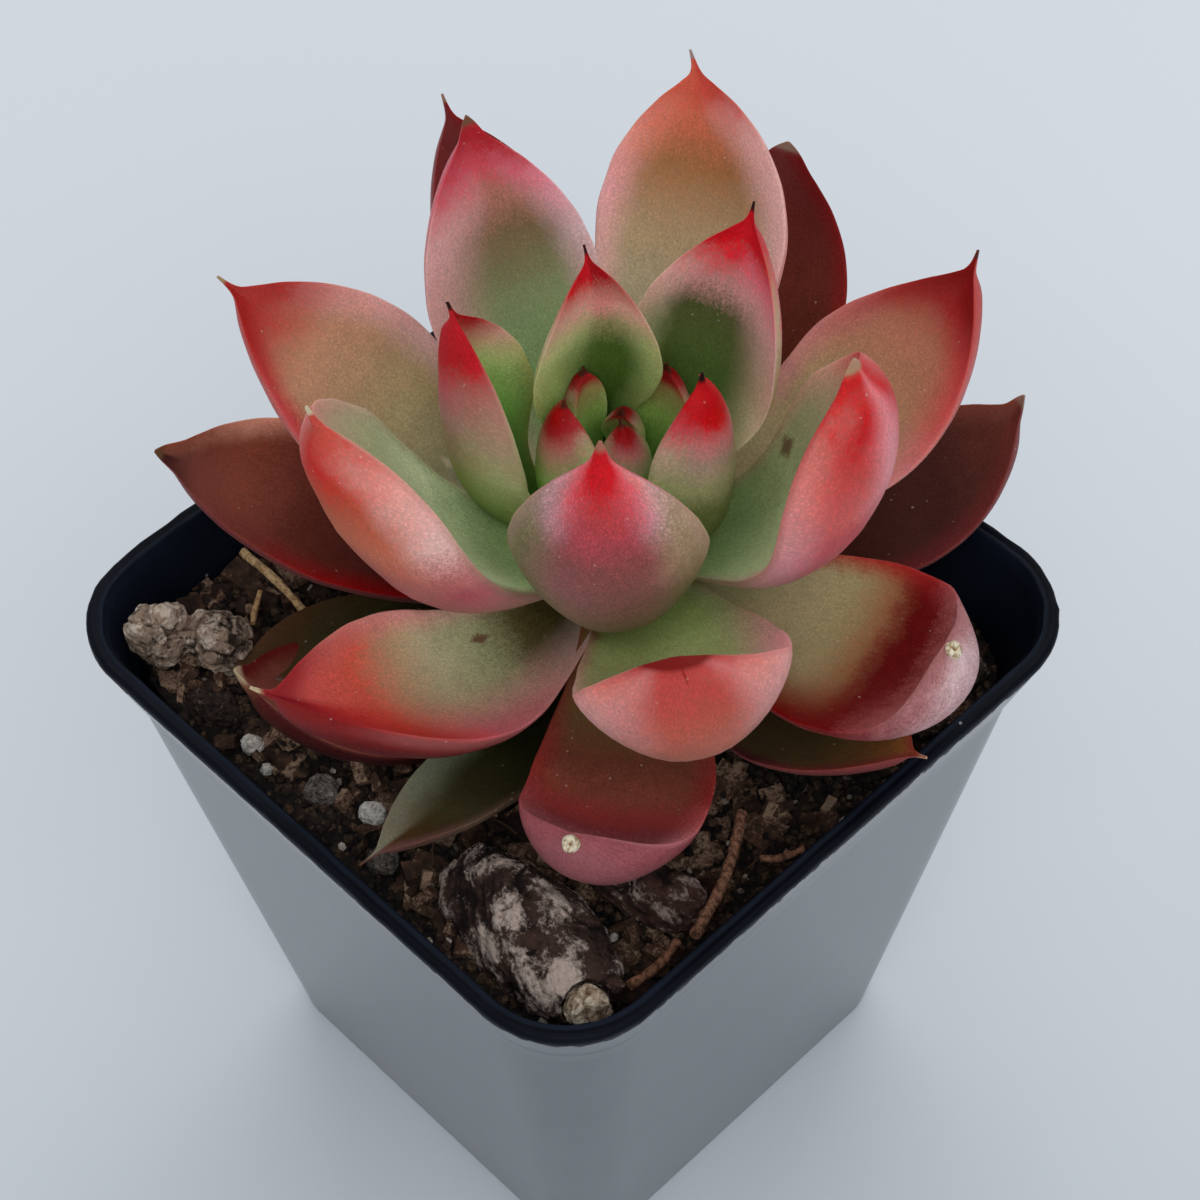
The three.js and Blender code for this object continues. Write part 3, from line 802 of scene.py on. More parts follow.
    def build(self) -> Piece:
        """Builds and dresses the leaf."""
        steps = np.linspace(0, 1, ROSETTE.stations)
        places = 1 - (1 - steps) ** ROSETTE.station_crowding
        rings, values = self.rings(places)
        points, faces = loft(rings)
        kept = {}
        for key, value in values.items():
            flat = np.asarray(value, float).ravel()
            kept[key] = np.concatenate([flat, [flat[0], flat[-1]]])
        kept["inset"][-2:] = 1.0
        body = mesh_object(self.name, points, faces, kept)
        self.unwrap(body, kept)
        return dressed(body, self.skin.material(f"{self.name}_skin"))

    def unwrap(self, body: Piece, kept: dict[str, Array]) -> None:
        """Lays the blade flat in its own map, a tenth of a metre to the unit.

        Args:
            body: The leaf.
            kept: The values that its points carry.
        """
        length = self.midline(np.array([0.0]))[2]
        layer = body.data.uv_layers.new(name="blade")
        corner = np.zeros(len(body.data.loops), int)
        body.data.loops.foreach_get("vertex_index", corner)
        lower = kept["under"][corner] > 0.5
        u = kept["across"][corner] * self.size[0] / 2 * MM + np.where(lower, 0.1, 0.0)
        v = kept["along"][corner] * length * MM
        layer.data.foreach_set("uv", np.column_stack([u, v]).astype(np.float32).ravel())


# Skins, as each leaf looks in the studio's soft light; their colours carry painted shade on the
# low, tucked-in leaves and painted light in the green hollows of the upper faces near the heart
HEART = Skin(
    upper={0.2: "6f9a44", 0.6: "92ae5c", 0.8: "a89460", 0.88: "a41e21", 1.0: "780c14"},
    right={0.3: "9ab868", 0.7: "aabc78", 0.88: "a42328"},
    left={0.3: "9ab868", 0.7: "aabc78", 0.88: "a42328"},
    lower={
        0.3: "84a856", 0.5: "a4b478", 0.62: "b0967b", 0.72: "b66f6b", 0.81: "a02028",
        0.88: "900408",
    },
    lower_rim={0.3: "92b062", 0.62: "b0b880", 0.73: "b08c78", 0.79: "9c2a2c", 0.85: "880509"},
    rim_width=1.0, right_width=1.0, lower_width=1.0, lift=1.15, grain=0.5, keel=0.1,
    edge_share=0.0, point="5c2c22",
)
TOP_INNER = Skin(
    upper={
        0.15: "3a5c1c", 0.42: "456322", 0.64: "465d27", 0.74: "837c55", 0.81: "bc7470",
        0.88: "870c15", 1.0: "940208",
    },
    right={0.2: "86a45c", 0.5: "d0ed93", 0.68: "dae89d", 0.8: "c09484", 0.9: "a81018"},
    left={0.2: "86a45c", 0.5: "a4bc74", 0.68: "acb87c", 0.8: "c09484", 0.9: "8a060e"},
    lower={0.2: "6c8444", 0.6: "8c9a60", 0.76: "b88a80", 0.86: "a81c26"},
    lower_rim={0.3: "86a05a", 0.7: "b0a480", 0.86: "a81c26"},
    rim_width=4.2, right_width=8.6, lower_width=1.4, lift=1.15, edge_share=0.1, point="241012",
)
SIDE_INNER = replace(
    TOP_INNER,
    upper={0.2: "507c2c", 0.55: "7caf54", 0.78: "9cb76d", 0.88: "b07a60"},
    lower={
        0.2: "566c30", 0.38: "70803c", 0.5: "8c7c5c", 0.62: "a07a74", 0.74: "ac5058",
        0.81: "ac121c", 1.0: "8c0008",
    },
    lower_rim={0.25: "8c9c5c", 0.45: "b8c08f", 0.6: "ad967e", 0.72: "a77066", 0.81: "ac1620"},
    right_width=4.2, lower_width=3.8, lift=1.0, point="1c0e10",
)
BUD_INNER = replace(
    TOP_INNER,
    lower={
        0.25: "4c5c2c", 0.45: "666e40", 0.58: "92936d", 0.69: "998374", 0.76: "b4686a",
        0.82: "b70a12", 1.0: "90040a",
    },
    lower_rim={0.3: "6c8044", 0.6: "98a070", 0.72: "ac9480", 0.79: "b04048", 0.84: "a8080e"},
    right_width=4.2, lower_width=2.4, lift=1.05, point="1c0e10",
)
RIGHT_INNER = replace(
    TOP_INNER,
    upper={
        0.15: "5c8830", 0.4: "4c6a2f", 0.56: "4c5e2f", 0.67: "484e2c", 0.76: "ac7c78",
        0.84: "bc2430", 0.9: "ca040e",
    },
    right={
        0.2: "88a060", 0.4: "94a870", 0.56: "a4aa80", 0.68: "bca393", 0.79: "c49790",
        0.88: "ac0c18",
    },
    left={
        0.2: "a8b486", 0.36: "ccc896", 0.52: "e4c4a8", 0.72: "f0b4b4", 0.81: "d4707c",
        0.88: "ac0c18",
    },
    lower={0.2: "8f9068", 0.5: "b08a80", 0.7: "be6a70", 0.84: "b01420"},
    rim_width=10.2, right_width=3.8, lift=1.1, edge_share=0.12, point="241012",
)
FRONT = replace(
    TOP_INNER,
    lower={
        0.22: "5c6a40", 0.34: "6c6848", 0.46: "7a6450", 0.57: "825a56", 0.7: "834a49",
        0.79: "9f4148", 0.85: "a73b3d", 0.9: "b40d13", 0.94: "ac0008",
    },
    lower_rim={
        0.3: "545e3a", 0.5: "696942", 0.66: "817954", 0.75: "c4949a", 0.83: "ca565d",
        0.89: "b8101a",
    },
    lower_width=5.4, lift=1.05, keel=0.12, pores=0.3, point="a8705c", edge="dcaca8", edge_share=0.3,
    # Painted light and shade: the lower face is paler on one side and darker on the other
    blush_sheen_and_shade=((0.62, 0.9, 0.6, "a0886c"), (0.66, -0.85, 0.35, "5c5440")),
)
TALL_LEFT = Skin(
    upper={
        0.1: "7ca050", 0.3: "96b47f", 0.46: "90a77a", 0.59: "7a7c5a", 0.7: "705e44", 0.8: "9d675b",
        0.87: "b0444e", 0.94: "9c1c24",
    },
    right={
        0.1: "a8a488", 0.35: "dcc0b0", 0.55: "f0b8b8", 0.76: "fbc1c2", 0.88: "b44450",
        0.94: "9c2028",
    },
    left={
        0.1: "a0a080", 0.3: "d4b8a8", 0.5: "ecc0c0", 0.7: "f5d3da", 0.84: "de8896", 0.93: "9c2028",
    },
    lower={0.2: "a08068", 0.6: "b87870", 0.9: "a83440"},
    lower_rim={0.3: "c49a92", 0.9: "b04450"},
    rim_width=4.8, right_width=10.2, lift=1.12, point="7c5a44",
)
ROLLED_RIGHT = replace(
    TALL_LEFT,
    upper={
        0.15: "8ca96f", 0.4: "a5b283", 0.56: "a1a37e", 0.68: "ac9074", 0.8: "b8625a",
        0.92: "b42830",
    },
    right={0.2: "a0a880", 0.45: "b4ac8c", 0.65: "b8947c", 0.85: "bc4448"},
    left={0.2: "8a9c6c", 0.4: "a49c80", 0.7: "b86a64", 0.9: "b42830"},
    lower={
        0.15: "98806a", 0.3: "a07874", 0.45: "a4646a", 0.58: "b05058", 0.7: "b45450",
        0.8: "b03c38", 0.87: "aa1013", 0.95: "b31717",
    },
    lower_rim={
        0.2: "a89c84", 0.4: "b8908e", 0.55: "bc8088", 0.66: "b87878", 0.78: "c36b64",
        0.88: "b25e56", 0.95: "b31c1c",
    },
    rim_width=2.4, right_width=3.0, lower_width=3.2, lift=1.05, point="b08a6c",
    scars=((0.41, 0.77, 0.08, "5c2c22"),), keel=0.0,
    blush_sheen_and_shade=((0.84, -0.06, 0.9, "cc7478"), (0.7, -0.1, 0.7, "c88488")),
)
ROLLED_LEFT = replace(
    TALL_LEFT,
    upper={0.15: "9fbc7e", 0.4: "bfcaa1", 0.6: "98a078", 0.78: "a89478", 0.9: "c08878"},
    right={0.2: "949c74", 0.5: "a89c7c", 0.8: "c08c7c"},
    left={0.2: "94a878", 0.5: "98a078", 0.7: "a8907a", 0.85: "c08c7c"},
    lower={
        0.15: "8c7460", 0.3: "905c58", 0.44: "98585c", 0.56: "a0605a", 0.68: "b0644c",
        0.78: "a84c34", 0.87: "b41d12", 0.95: "a30c07",
    },
    lower_rim={
        0.2: "a08c74", 0.36: "b07874", 0.5: "ad4f5c", 0.6: "af6762", 0.7: "d4aca4", 0.82: "d18e82",
        0.92: "b4463a",
    },
    rim_width=3.0, right_width=2.4, lower_width=4.6, lift=1.02, keel=0.0, point="d8c8a8",
)
TALL_BACK = Skin(
    upper={
        0.1: "98a478", 0.3: "a4a480", 0.46: "a49c7c", 0.58: "a28d6b", 0.74: "8d5f39",
        0.86: "b05840", 0.94: "a82818",
    },
    right={0.2: "c4b8a0", 0.45: "dcb8ac", 0.65: "d89c9c", 0.8: "c47c6c", 0.9: "b4503c"},
    left={0.2: "c0b49c", 0.45: "e8b8ac", 0.65: "fac8c3", 0.8: "f9bdb6", 0.9: "b44438"},
    lower={0.3: "b87a68", 0.9: "b44434"},
    lower_rim={0.3: "cc9088", 0.9: "c45444"},
    rim_width=6.8, right_width=4.6, lift=1.0, point="9c8a84",
)
FOLDED = Skin(
    upper={0.15: "95ad5e", 0.4: "a1ad6f", 0.6: "949668", 0.78: "b09478", 0.92: "c08c78"},
    right={0.3: "949c6c", 0.6: "ffaeb2", 0.85: "f69895"},
    left={0.3: "8b6c4e", 0.6: "bc9c84", 0.85: "cc8478"},
    lower={
        0.4: "986464", 0.58: "9c7468", 0.7: "9c6c5c", 0.8: "985c4c", 0.89: "a64f40",
        0.96: "a43c38",
    },
    lower_rim={0.5: "b88c8a", 0.72: "c08c84", 0.84: "c08078", 0.92: "be6657", 0.98: "a43834"},
    # Painted sheen: pale patches near both edges of the lower face
    blush_sheen_and_shade=((0.86, -0.75, 0.3, "d4a0a0"), (0.84, 0.8, 0.35, "d4a0a0")),
    rim_width=2.4, right_width=6.4, lower_width=4.6, lift=1.0, keel=0.0, point="7c1410",
    scars=((0.975, 0.05, 0.032, "78100e"),),
)
LEFT_OUTER = Skin(
    upper={
        0.1: "848c5c", 0.3: "9b9b79", 0.48: "a69b72", 0.62: "a48767", 0.74: "a87c60",
        0.86: "9c3c34", 0.95: "8c1814",
    },
    right={0.15: "b48c80", 0.32: "b4706a", 0.5: "a42c30", 0.7: "b3353a", 0.9: "8c1814"},
    left={0.15: "c8b0a8", 0.35: "dcbcb4", 0.55: "eecac8", 0.72: "c8948c", 0.88: "942c28"},
    lower={0.3: "94504a", 0.7: "a84c46", 0.95: "8c2c26"},
    lower_rim={0.3: "b87a74", 0.8: "a8403c"},
    rim_width=4.8, right_width=4.4, lift=1.1, point="a08e68",
    scars=((0.34, -0.08, 0.052, "f2e6cc"),),
)
RIGHT_OUTER = replace(
    LEFT_OUTER,
    upper={
        0.1: "a0a078", 0.3: "a09c74", 0.5: "a09068", 0.64: "a3775b", 0.75: "a06c56",
        0.85: "8c2824", 0.94: "701410",
    },
    right={0.2: "b89c88", 0.42: "bc8c84", 0.62: "b0706a", 0.8: "94302c", 0.92: "701010"},
    left={
        0.15: "d0b0ac", 0.34: "d8b0ac", 0.5: "cc8c8c", 0.66: "c05c58", 0.78: "b83c3e",
        0.88: "7c0e10",
    },
    rim_width=7.4, right_width=3.8, lift=1.12, point="5a3430", scars=(),
)
FRONT_LOW = Skin(
    upper={
        0.2: "646638", 0.4: "5f4a2b", 0.55: "5e3223", 0.66: "703a2c", 0.74: "7c2c28",
        0.8: "6c2c2e", 0.86: "7c4446",
    },
    right={0.3: "643c28", 0.5: "702c24", 0.66: "742420", 0.76: "984545", 0.86: "b57275"},
    left={0.3: "643c28", 0.5: "702c24", 0.66: "742420", 0.78: "783434", 0.88: "804448"},
    lower={0.3: "5c3434", 0.6: "6c3c3e", 0.85: "784448", 0.95: "7c484c"},
    lower_rim={0.4: "682c2c", 0.8: "743638", 0.92: "804448"},
    rim_width=3.4, right_width=3.4, lower_width=3.0, lift=1.2, keel=0.0, edge_share=0.0,
)
RIGHT_FRONT = replace(
    FRONT_LOW,
    upper={
        0.1: "8c9664", 0.35: "9d926d", 0.52: "928660", 0.62: "845b3c", 0.655: "6c3422",
        0.7: "560405", 0.77: "5c0d0d", 0.85: "8a4c4a", 0.93: "966464",
    },
    right={
        0.2: "8c7458", 0.38: "944030", 0.58: "8c1a16", 0.72: "7c1818", 0.84: "8c4c4c",
        0.93: "966464",
    },
    left={
        0.2: "84684e", 0.4: "84341f", 0.56: "6c0705", 0.7: "640808", 0.82: "8c4848",
        0.93: "966464",
    },
    lower={0.3: "8a5450", 0.6: "845052", 0.85: "8c5c5c", 0.95: "bca0a1"},
    lower_rim={0.4: "8c4040", 0.7: "701c1c", 0.8: "743030", 0.9: "915d5d"},
    rim_width=9.0, lower_width=3.4, lift=1.05,
)
LEFT_FRONT = replace(
    LEFT_OUTER,
    upper={
        0.15: "3c361a", 0.24: "585230", 0.36: "909670", 0.5: "a09c7a", 0.62: "a07e60",
        0.73: "b04c3c", 0.86: "a84640", 0.94: "741418",
    },
    right={
        0.15: "a8988c", 0.28: "b88c84", 0.42: "b87074", 0.54: "ef7c8c", 0.62: "e6505e",
        0.7: "a60b0d", 0.8: "981014", 0.92: "6c0c18",
    },
    left={0.2: "7c7450", 0.4: "b49484", 0.55: "c08078", 0.74: "a85c54", 0.9: "7c2024"},
    lower={0.3: "4c1c1c", 0.8: "541414"},
    lower_rim={0.3: "8c3434", 0.8: "6b1514"},
    rim_width=3.0, right_width=12.0, lift=1.25, point="cdb890",
    scars=((0.34, -0.57, 0.07, "521b13"),),
)
DARK = Skin(
    upper={0.2: "5c4028", 0.45: "5c3020", 0.7: "5a281e", 0.92: "501c1a"},
    right={0.2: "703c2c", 0.6: "742420", 0.9: "5c1c1c"},
    left={0.2: "703c2c", 0.6: "7c2420", 0.9: "601313"},
    lower={0.2: "5c3430", 0.7: "643030"},
    lower_rim={0.3: "7c4644", 0.8: "703434"},
    rim_width=3.0, right_width=3.0, lift=1.2, edge_share=0.0, point="8c7464",
)
RIGHT_DARK = replace(
    DARK,
    upper={0.2: "4c2e1c", 0.45: "48241a", 0.7: "40201a", 0.9: "582c24"},
    left={0.2: "5c2420", 0.45: "6c1e1e", 0.65: "602424", 0.9: "642c26"},
    right={0.2: "543024", 0.6: "5c2824", 0.9: "6c3c30"},
    rim_width=4.4, lift=1.0,
)
LEFT_DARK = replace(
    DARK,
    upper={
        0.2: "54241e", 0.45: "5c2821", 0.65: "643024", 0.8: "783c2c", 0.9: "643024",
        0.97: "34140f",
    },
    right={
        0.15: "a00c12", 0.4: "940a0c", 0.58: "920c0f", 0.75: "6c2c24", 0.88: "6c3428",
        0.96: "340704",
    },
    left={0.2: "7c4a40", 0.5: "884c3c", 0.8: "be856f", 0.93: "703c2c"},
    right_width=5.0, lift=0.95, point="5c3c24",
)
UNDER_FRONT = replace(
    DARK,
    upper={0.3: "4c4426", 0.7: "5c3c28", 0.92: "7e4237"},
    right={0.2: "703c2c", 0.6: "742420", 0.9: "885342"},
    lower={0.2: "2c1212", 0.5: "3c1416", 0.8: "481618", 0.95: "70382c"},
    lower_rim={0.3: "401818", 0.7: "4c1a1c", 0.9: "602424", 0.97: "a87858"},
    lift=0.8, point="c0a888",
)
OLIVE_RED = replace(
    DARK,
    upper={0.2: "2c2814", 0.5: "3c301a", 0.75: "4d3d22", 0.92: "7c4e26"},
    right={0.2: "4c2c18", 0.6: "642c1c", 0.9: "84382a"},
    left={0.2: "542818", 0.6: "41151c", 0.9: "7e392d"},
    rim_width=2.0, right_width=2.0, lift=1.05, point="b88c70",
)
GREY = Skin(
    upper={0.2: "20200a", 0.5: "2e2e14", 0.75: "3f3a21", 0.92: "45260e"},
    right={0.2: "342a1a", 0.6: "4c3820", 0.9: "64443c"},
    left={0.2: "5c6044", 0.55: "7c886c", 0.85: "74705c"},
    lower={0.2: "2c2814", 0.8: "4c3e22"},
    lower_rim={0.3: "503c24", 0.9: "64443c"},
    rim_width=4.6, right_width=1.4, lower_width=1.4, lift=0.9, edge="98a080", edge_share=0.1,
    point="5c4034",
)
SHADED = replace(GREY, left={0.2: "302c18", 0.5: "403a1c", 0.85: "4c3420"}, edge_share=0.0)

LEAVES = [
    Leaf("heart_leaf_1", -3, -16, (5, 115), (62, 83), (5.4, 3), 0, 0.4, 0.2, -4, HEART),
    Leaf("heart_leaf_2", -2, 29, (8, 113), (52, 86), (9, 3.2), 14, 0.4, 0.1, 2, HEART),
    Leaf("heart_leaf_3", -1, -33, (6, 117), (45, 87), (9.6, 3.4), 0, 0.5, 0.1, 0, HEART),
    Leaf("inner_leaf_1", 0, 21, (7, 131), (46, 50), (14, 4), -18, 0.6, 0, -6, TOP_INNER),
    Leaf("inner_leaf_2", 1, 0, (10.4, 124.2), (16, 92), (14.5, 4), 9, 0.5, 0.1, 5, BUD_INNER),
    Leaf(
        "inner_leaf_3", 2, 2, (17, 130), (0, 70), (13, 5.2), -22, 0.85, 0, -6, SIDE_INNER,
        skew=0.3,
    ),
    Leaf("inner_leaf_4", 3, -19, (20, 129.6), (40, 64), (18, 5), 21, 0.7, 0, 13, RIGHT_INNER),
    Leaf("inner_leaf_5", 4, -3, (21, 132), (8, 114), (20.8, 5), 0, 0.3, 0.1, -2, FRONT),
    Leaf("middle_leaf_1", 5, -9, (29, 132), (20, 70), (20, 6), -11, 0.5, 0.2, -2, TALL_LEFT),
    Leaf(
        "middle_leaf_2", 6, -21, (26, 132), (12, 110), (24, 6), 12, 0.43, 0.3, 0, ROLLED_RIGHT,
        skew=0.08, twist=-16,
    ),
    Leaf(
        "middle_leaf_3", 7, -8, (34, 131), (10, 73), (25, 7), 1, 0.32, 0, -4, ROLLED_LEFT,
        TipKind.STRAW, -0.08, 16,
    ),
    Leaf("middle_leaf_4", 8, -18, (46, 122), (46, 32), (24, 6), -14, 0.4, 0, 16, TALL_BACK),
    Leaf("middle_leaf_5", 9, -18, (38, 119), (10, 127), (23, 6), 3, 0.4, 1, -7, FOLDED),
    Leaf(
        "outer_leaf_1", 10, -6, (46, 117), (-4, 40), (21, 6), -13, 0.4, 0, 0, LEFT_OUTER,
        TipKind.STRAW,
    ),
    Leaf("outer_leaf_2", 11, -9, (43, 118), (2, 78), (20, 6), 20, 0.6, 0, 4, RIGHT_OUTER),
    Leaf(
        "outer_leaf_3", 12, 23, (42, 94), (-20, 93), (20, 6), -11, 0.3, 0.9, -11, FRONT_LOW,
        TipKind.KNOB,
    ),
    Leaf("outer_leaf_4", 13, 1, (47, 118), (12, 42), (19, 6), 13, 0.4, 0, 0, DARK),
    Leaf(
        "outer_leaf_5", 14, -12, (42, 103), (12, 114), (23, 6), 7, 0.3, 0.7, 0, RIGHT_FRONT,
        TipKind.KNOB,
    ),
    Leaf(
        "outer_leaf_6", 15, 35, (48, 103), (-10, 43), (19, 6), -13, 0.6, 0, -16, LEFT_FRONT,
        TipKind.STRAW,
    ),
    Leaf("outer_leaf_7", 16, 0, (48, 109), (4, 50), (23, 6), 12, 0.4, 0.4, 4, DARK),
    Leaf("outer_leaf_8", 18, 0, (42, 102), (-4, 45), (19, 6), 0, 0.4, 0, 0, DARK),
    Leaf(
        "lower_leaf_1", 19, 0, (48, 98), (7, 64), (19, 5), 10, 0.3, 0.2, 8, RIGHT_DARK,
        TipKind.STRAW,
    ),
    Leaf(
        "lower_leaf_2", 20, -20, (45, 84), (-30, 54), (21, 6), 4, 0.2, 0.3, -14, UNDER_FRONT,
        TipKind.STRAW,
    ),
    Leaf("lower_leaf_3", 21, 0, (38, 97), (0, 40), (19, 5), 0, 0.3, 0, 0, DARK),
    Leaf(
        "lower_leaf_4", 22, 0, (44, 89), (-10, 28), (19, 4), 6, 0.3, 0, 2, OLIVE_RED,
        TipKind.STRAW,
    ),
    Leaf(
        "lower_leaf_5", 23, -10, (53, 96), (-9, 26), (21, 5), -1, 0.3, 0.3, 2, LEFT_DARK,
        TipKind.STRAW,
    ),
    Leaf("lower_leaf_6", 24, 8, (39, 98), (6, 30), (17, 4), 0, 0.3, 0, 0, DARK),
    Leaf("lower_leaf_7", 25, -21, (48, 84), (-24, -5), (11, 4), -4, 0.3, 0, -8, GREY),
    Leaf("lower_leaf_8", 26, 0, (40, 86), (-16, 20), (15, 4), 0, 0.3, 0, 0, GREY),
    Leaf("lower_leaf_9", 28, -20, (45, 80), (-26, 6), (15, 4), 3, 0.3, 0.3, 2, SHADED),
]
BUD = [
    Leaf("bud_leaf_1", -5, 0, (1, 111), (66, 110), (5, 2.5), 0, 0.4, 0, 0, HEART),
    Leaf("bud_leaf_2", -4, 0, (1, 112), (54, 114), (6, 2.5), 0, 0.4, 0, 0, HEART),
]


# Pot


@dataclass
class Pot:
    """The square pot: a black inner layer whose trimmed lip laps over a grey outer one."""

    rim_side: float = 85.0
    height: float = 85.0
    rim_corner: float = 12.3
    foot_side: float = 56.6
    foot_corner: float = 6.0
    collar_height: float = 9.4
    collar_foot_side: float = 79.7
    wall_top_side: float = 78.9
    collar_step: float = 0.4
    lip_height: float = 1.7
    lap: float = 2.3
    lip_width: float = 1.9
    wall: float = 1.1
    floor: float = 2.0
    drain_radius: float = 4.0
    drain_offset: float = 15.0
    drain_sides: int = 32
    trim: float = 0.36
    corner_steps: int = 16
    side_steps: int = 30

    def cavity_side(self, height: float) -> float:
        """Gives the side of the square inside at a height."""
        top = self.wall_top_side - 2 * self.wall
        foot = self.foot_side - 2 * self.wall
        collar_foot = self.height - self.collar_height
        if height <= collar_foot:
            return foot + (top - foot) * height / collar_foot
        share = (height - collar_foot) / self.collar_height
        return top + (self.rim_side - 2 * self.lip_width - top) * share

    def square(self, side: float, corner: float, height: float) -> Array:
        """Draws a square ring with round corners, anticlockwise from the +X side."""
        middle = side / 2 - corner
        ring = []
        for number, (x, y) in enumerate(((1, 1), (-1, 1), (-1, -1), (1, -1))):
            for step in range(self.corner_steps + 1):
                angle = (number + step / self.corner_steps) * math.pi / 2
                along, aside = corner * math.cos(angle), corner * math.sin(angle)
                ring.append((x * middle + along, y * middle + aside))
            turn = (number + 1) * math.pi / 2
            start = np.array(ring[-1])
            way = np.array([-math.sin(turn), math.cos(turn)]) * 2 * middle
            for step in range(1, self.side_steps):
                ring.append(tuple(start + way * step / self.side_steps))
        return np.array([(x, y, height) for x, y in ring])

    def outline(self) -> list[tuple[float, float, float, float]]:
        """Lists side, corner, height and layer of each ring, from the foot up and back inside."""
        collar_foot = self.height - self.collar_height
        foot, corner, top = self.foot_corner, self.rim_corner - 1, self.wall_top_side
        rows = [
            (self.foot_side - 1.0, foot - 0.5, 0.0, 0.0),
            (self.foot_side - 0.2, foot - 0.1, 0.15, 0.0),
        ]
        for share in np.linspace(0.01, 1, 26):
            side = self.foot_side + (top - self.foot_side) * share
            height = (collar_foot - self.collar_step) * share
            rows.append((side, foot + (corner - foot) * share, height, 0.0))
        rows.append((top + 0.1, corner, collar_foot - 0.3, 0.0))
        rows.append((self.collar_foot_side - 0.15, corner + 0.35, collar_foot - 0.06, 0.0))
        lip_foot = self.height - self.lip_height
        for share in np.linspace(0.02, 0.98, 10):
            side = self.collar_foot_side + (self.rim_side - 0.4 - self.collar_foot_side) * share
            height = collar_foot + (lip_foot - collar_foot) * share
            rows.append((side, corner + 0.4 + 0.6 * share, height, 0.0))
        for less, rise in ((0.35, 0.1), (0.04, 0.5)):
            rows.append((self.rim_side - less, self.rim_corner, lip_foot + rise, 0.0))
        for turn in np.radians((0, 30, 60, 90)):
            side = self.rim_side - 1.2 * (1 - math.cos(turn))
            rows.append((side, self.rim_corner, self.height - 0.6 * (1 - math.sin(turn)), 0.0))
        bore = 2 * self.lip_width
        for less, tighter, drop, layer in (
            (1.9, 0.5, 0.22, 0.5),
            (2.5, 0.8, 0.16, 1.0),
            (bore - 0.7, 1.3, 0.02, 1.0),
            (bore - 0.2, 1.7, 0.14, 1.0),
            (bore, self.lip_width, 0.6, 1.0),
        ):
            side, radius = self.rim_side - less, self.rim_corner - tighter
            rows.append((side, radius, self.height - drop, layer))
        for share in np.linspace(0.1, 1, 8):
            height = self.height - self.collar_height * share
            radius = self.rim_corner - self.lip_width - 0.2 * share
            rows.append((self.cavity_side(height), radius, height, 1.0))
        for share in np.linspace(0.06, 1, 16):
            height = collar_foot + (self.floor - collar_foot) * share
            radius = corner - self.wall + (foot - corner) * share
            rows.append((self.cavity_side(height), radius, height, 1.0))
        return rows

    def build(self) -> Piece:
        """Builds the pot, with its drain holes, and dresses it."""
        rows = self.outline()
        rings = np.array([self.square(side, corner, height) for side, corner, height, _ in rows])
        flat = rings.reshape(-1, 3)
        trimmed = ease(flat[:, 2], self.height - 3.5, self.height - 0.5)
        wobble = np.abs(noise_at(flat, 5, 3.0, 3) * self.trim * trimmed)
        middle = flat * [1, 1, 0]
        away = middle / np.maximum(np.linalg.norm(middle, axis=1), 1)[:, None]
        flat = flat - away * (wobble * 0.8)[:, None]
        flat[:, 2] -= wobble * 0.7
        points, faces = loft(flat.reshape(rings.shape))
        layer = np.repeat([row[3] for row in rows], rings.shape[1])
        layer = np.concatenate([layer, [0.0, 1.0]])
        body = mesh_object("pot_shell", points, faces, {"layer": layer})
        self.drill(body)
        return dressed(body, Surface(0.06).material("two_layer_plastic", self.paint, 0.25))

    def drill(self, body: Piece) -> None:
        """Cuts the four drain holes."""
        angle = np.linspace(0, 2 * np.pi, self.drain_sides, endpoint=False)
        circle = self.drain_radius * np.column_stack([np.cos(angle), np.sin(angle)])
        plugs, heights = [], (-self.floor, 2 * self.floor)
        for x, y in product((-self.drain_offset, self.drain_offset), repeat=2):
            ends = [np.insert(circle + (x, y), 2, z, axis=1) for z in heights]
            plugs.append(mesh_object("plug", *loft(np.array(ends))))
        for plug in plugs:
            cut = body.modifiers.new("drain", "BOOLEAN")
            cut.object, cut.operation, cut.solver = plug, "DIFFERENCE", "EXACT"
        plain_mesh(body)
        for plug in plugs:
            bpy.data.objects.remove(plug)

    def paint(self, graph: Graph) -> Paint:
        """Paints the two layers, with the black one lapped ragged over the lip."""
        place = graph.place()
        height = graph.node("ShaderNodeSeparateXYZ", {0: place}).outputs["Z"]
        layer = graph.attribute("layer")
        broad = graph.swing(graph.stretch(place, (1, 1, 0.2)), 4.0, 3, 0.6)
        fine = graph.swing(graph.stretch(place, (1, 1, 0.5)), 1.3, 1, 0.5)
        edge = graph.sum((self.height - self.lap) * MM, (broad, 5 * MM), (fine, 3.5 * MM))
        lapped = graph.step(graph.math("SUBTRACT", height, edge), -0.05 * MM, 0.05 * MM)
        black = graph.math("MAXIMUM", lapped, graph.step(layer, 0.2, 0.6))
        cloud = graph.noise(place, 9.0, 4, 0.55)
        haze = graph.noise(graph.stretch(place, (1, 1, 0.25)), 2.0, 4, 0.7)
        grey = graph.mix(cloud, srgb("54595d"), srgb("60666a"))
        # A real dusty haze, and painted reflection: the wall grows paler towards the foot, where it
        # mirrors the pale floor
        dust_and_floor_glow = graph.sum(0.0, (haze, 0.16), (graph.step(height, 60 * MM, 4 * MM), 0.09))
        grey = graph.mix(dust_and_floor_glow, grey, srgb("8c9498"))
        ink = graph.mix(cloud, srgb("04060a"), srgb("0e131d"))
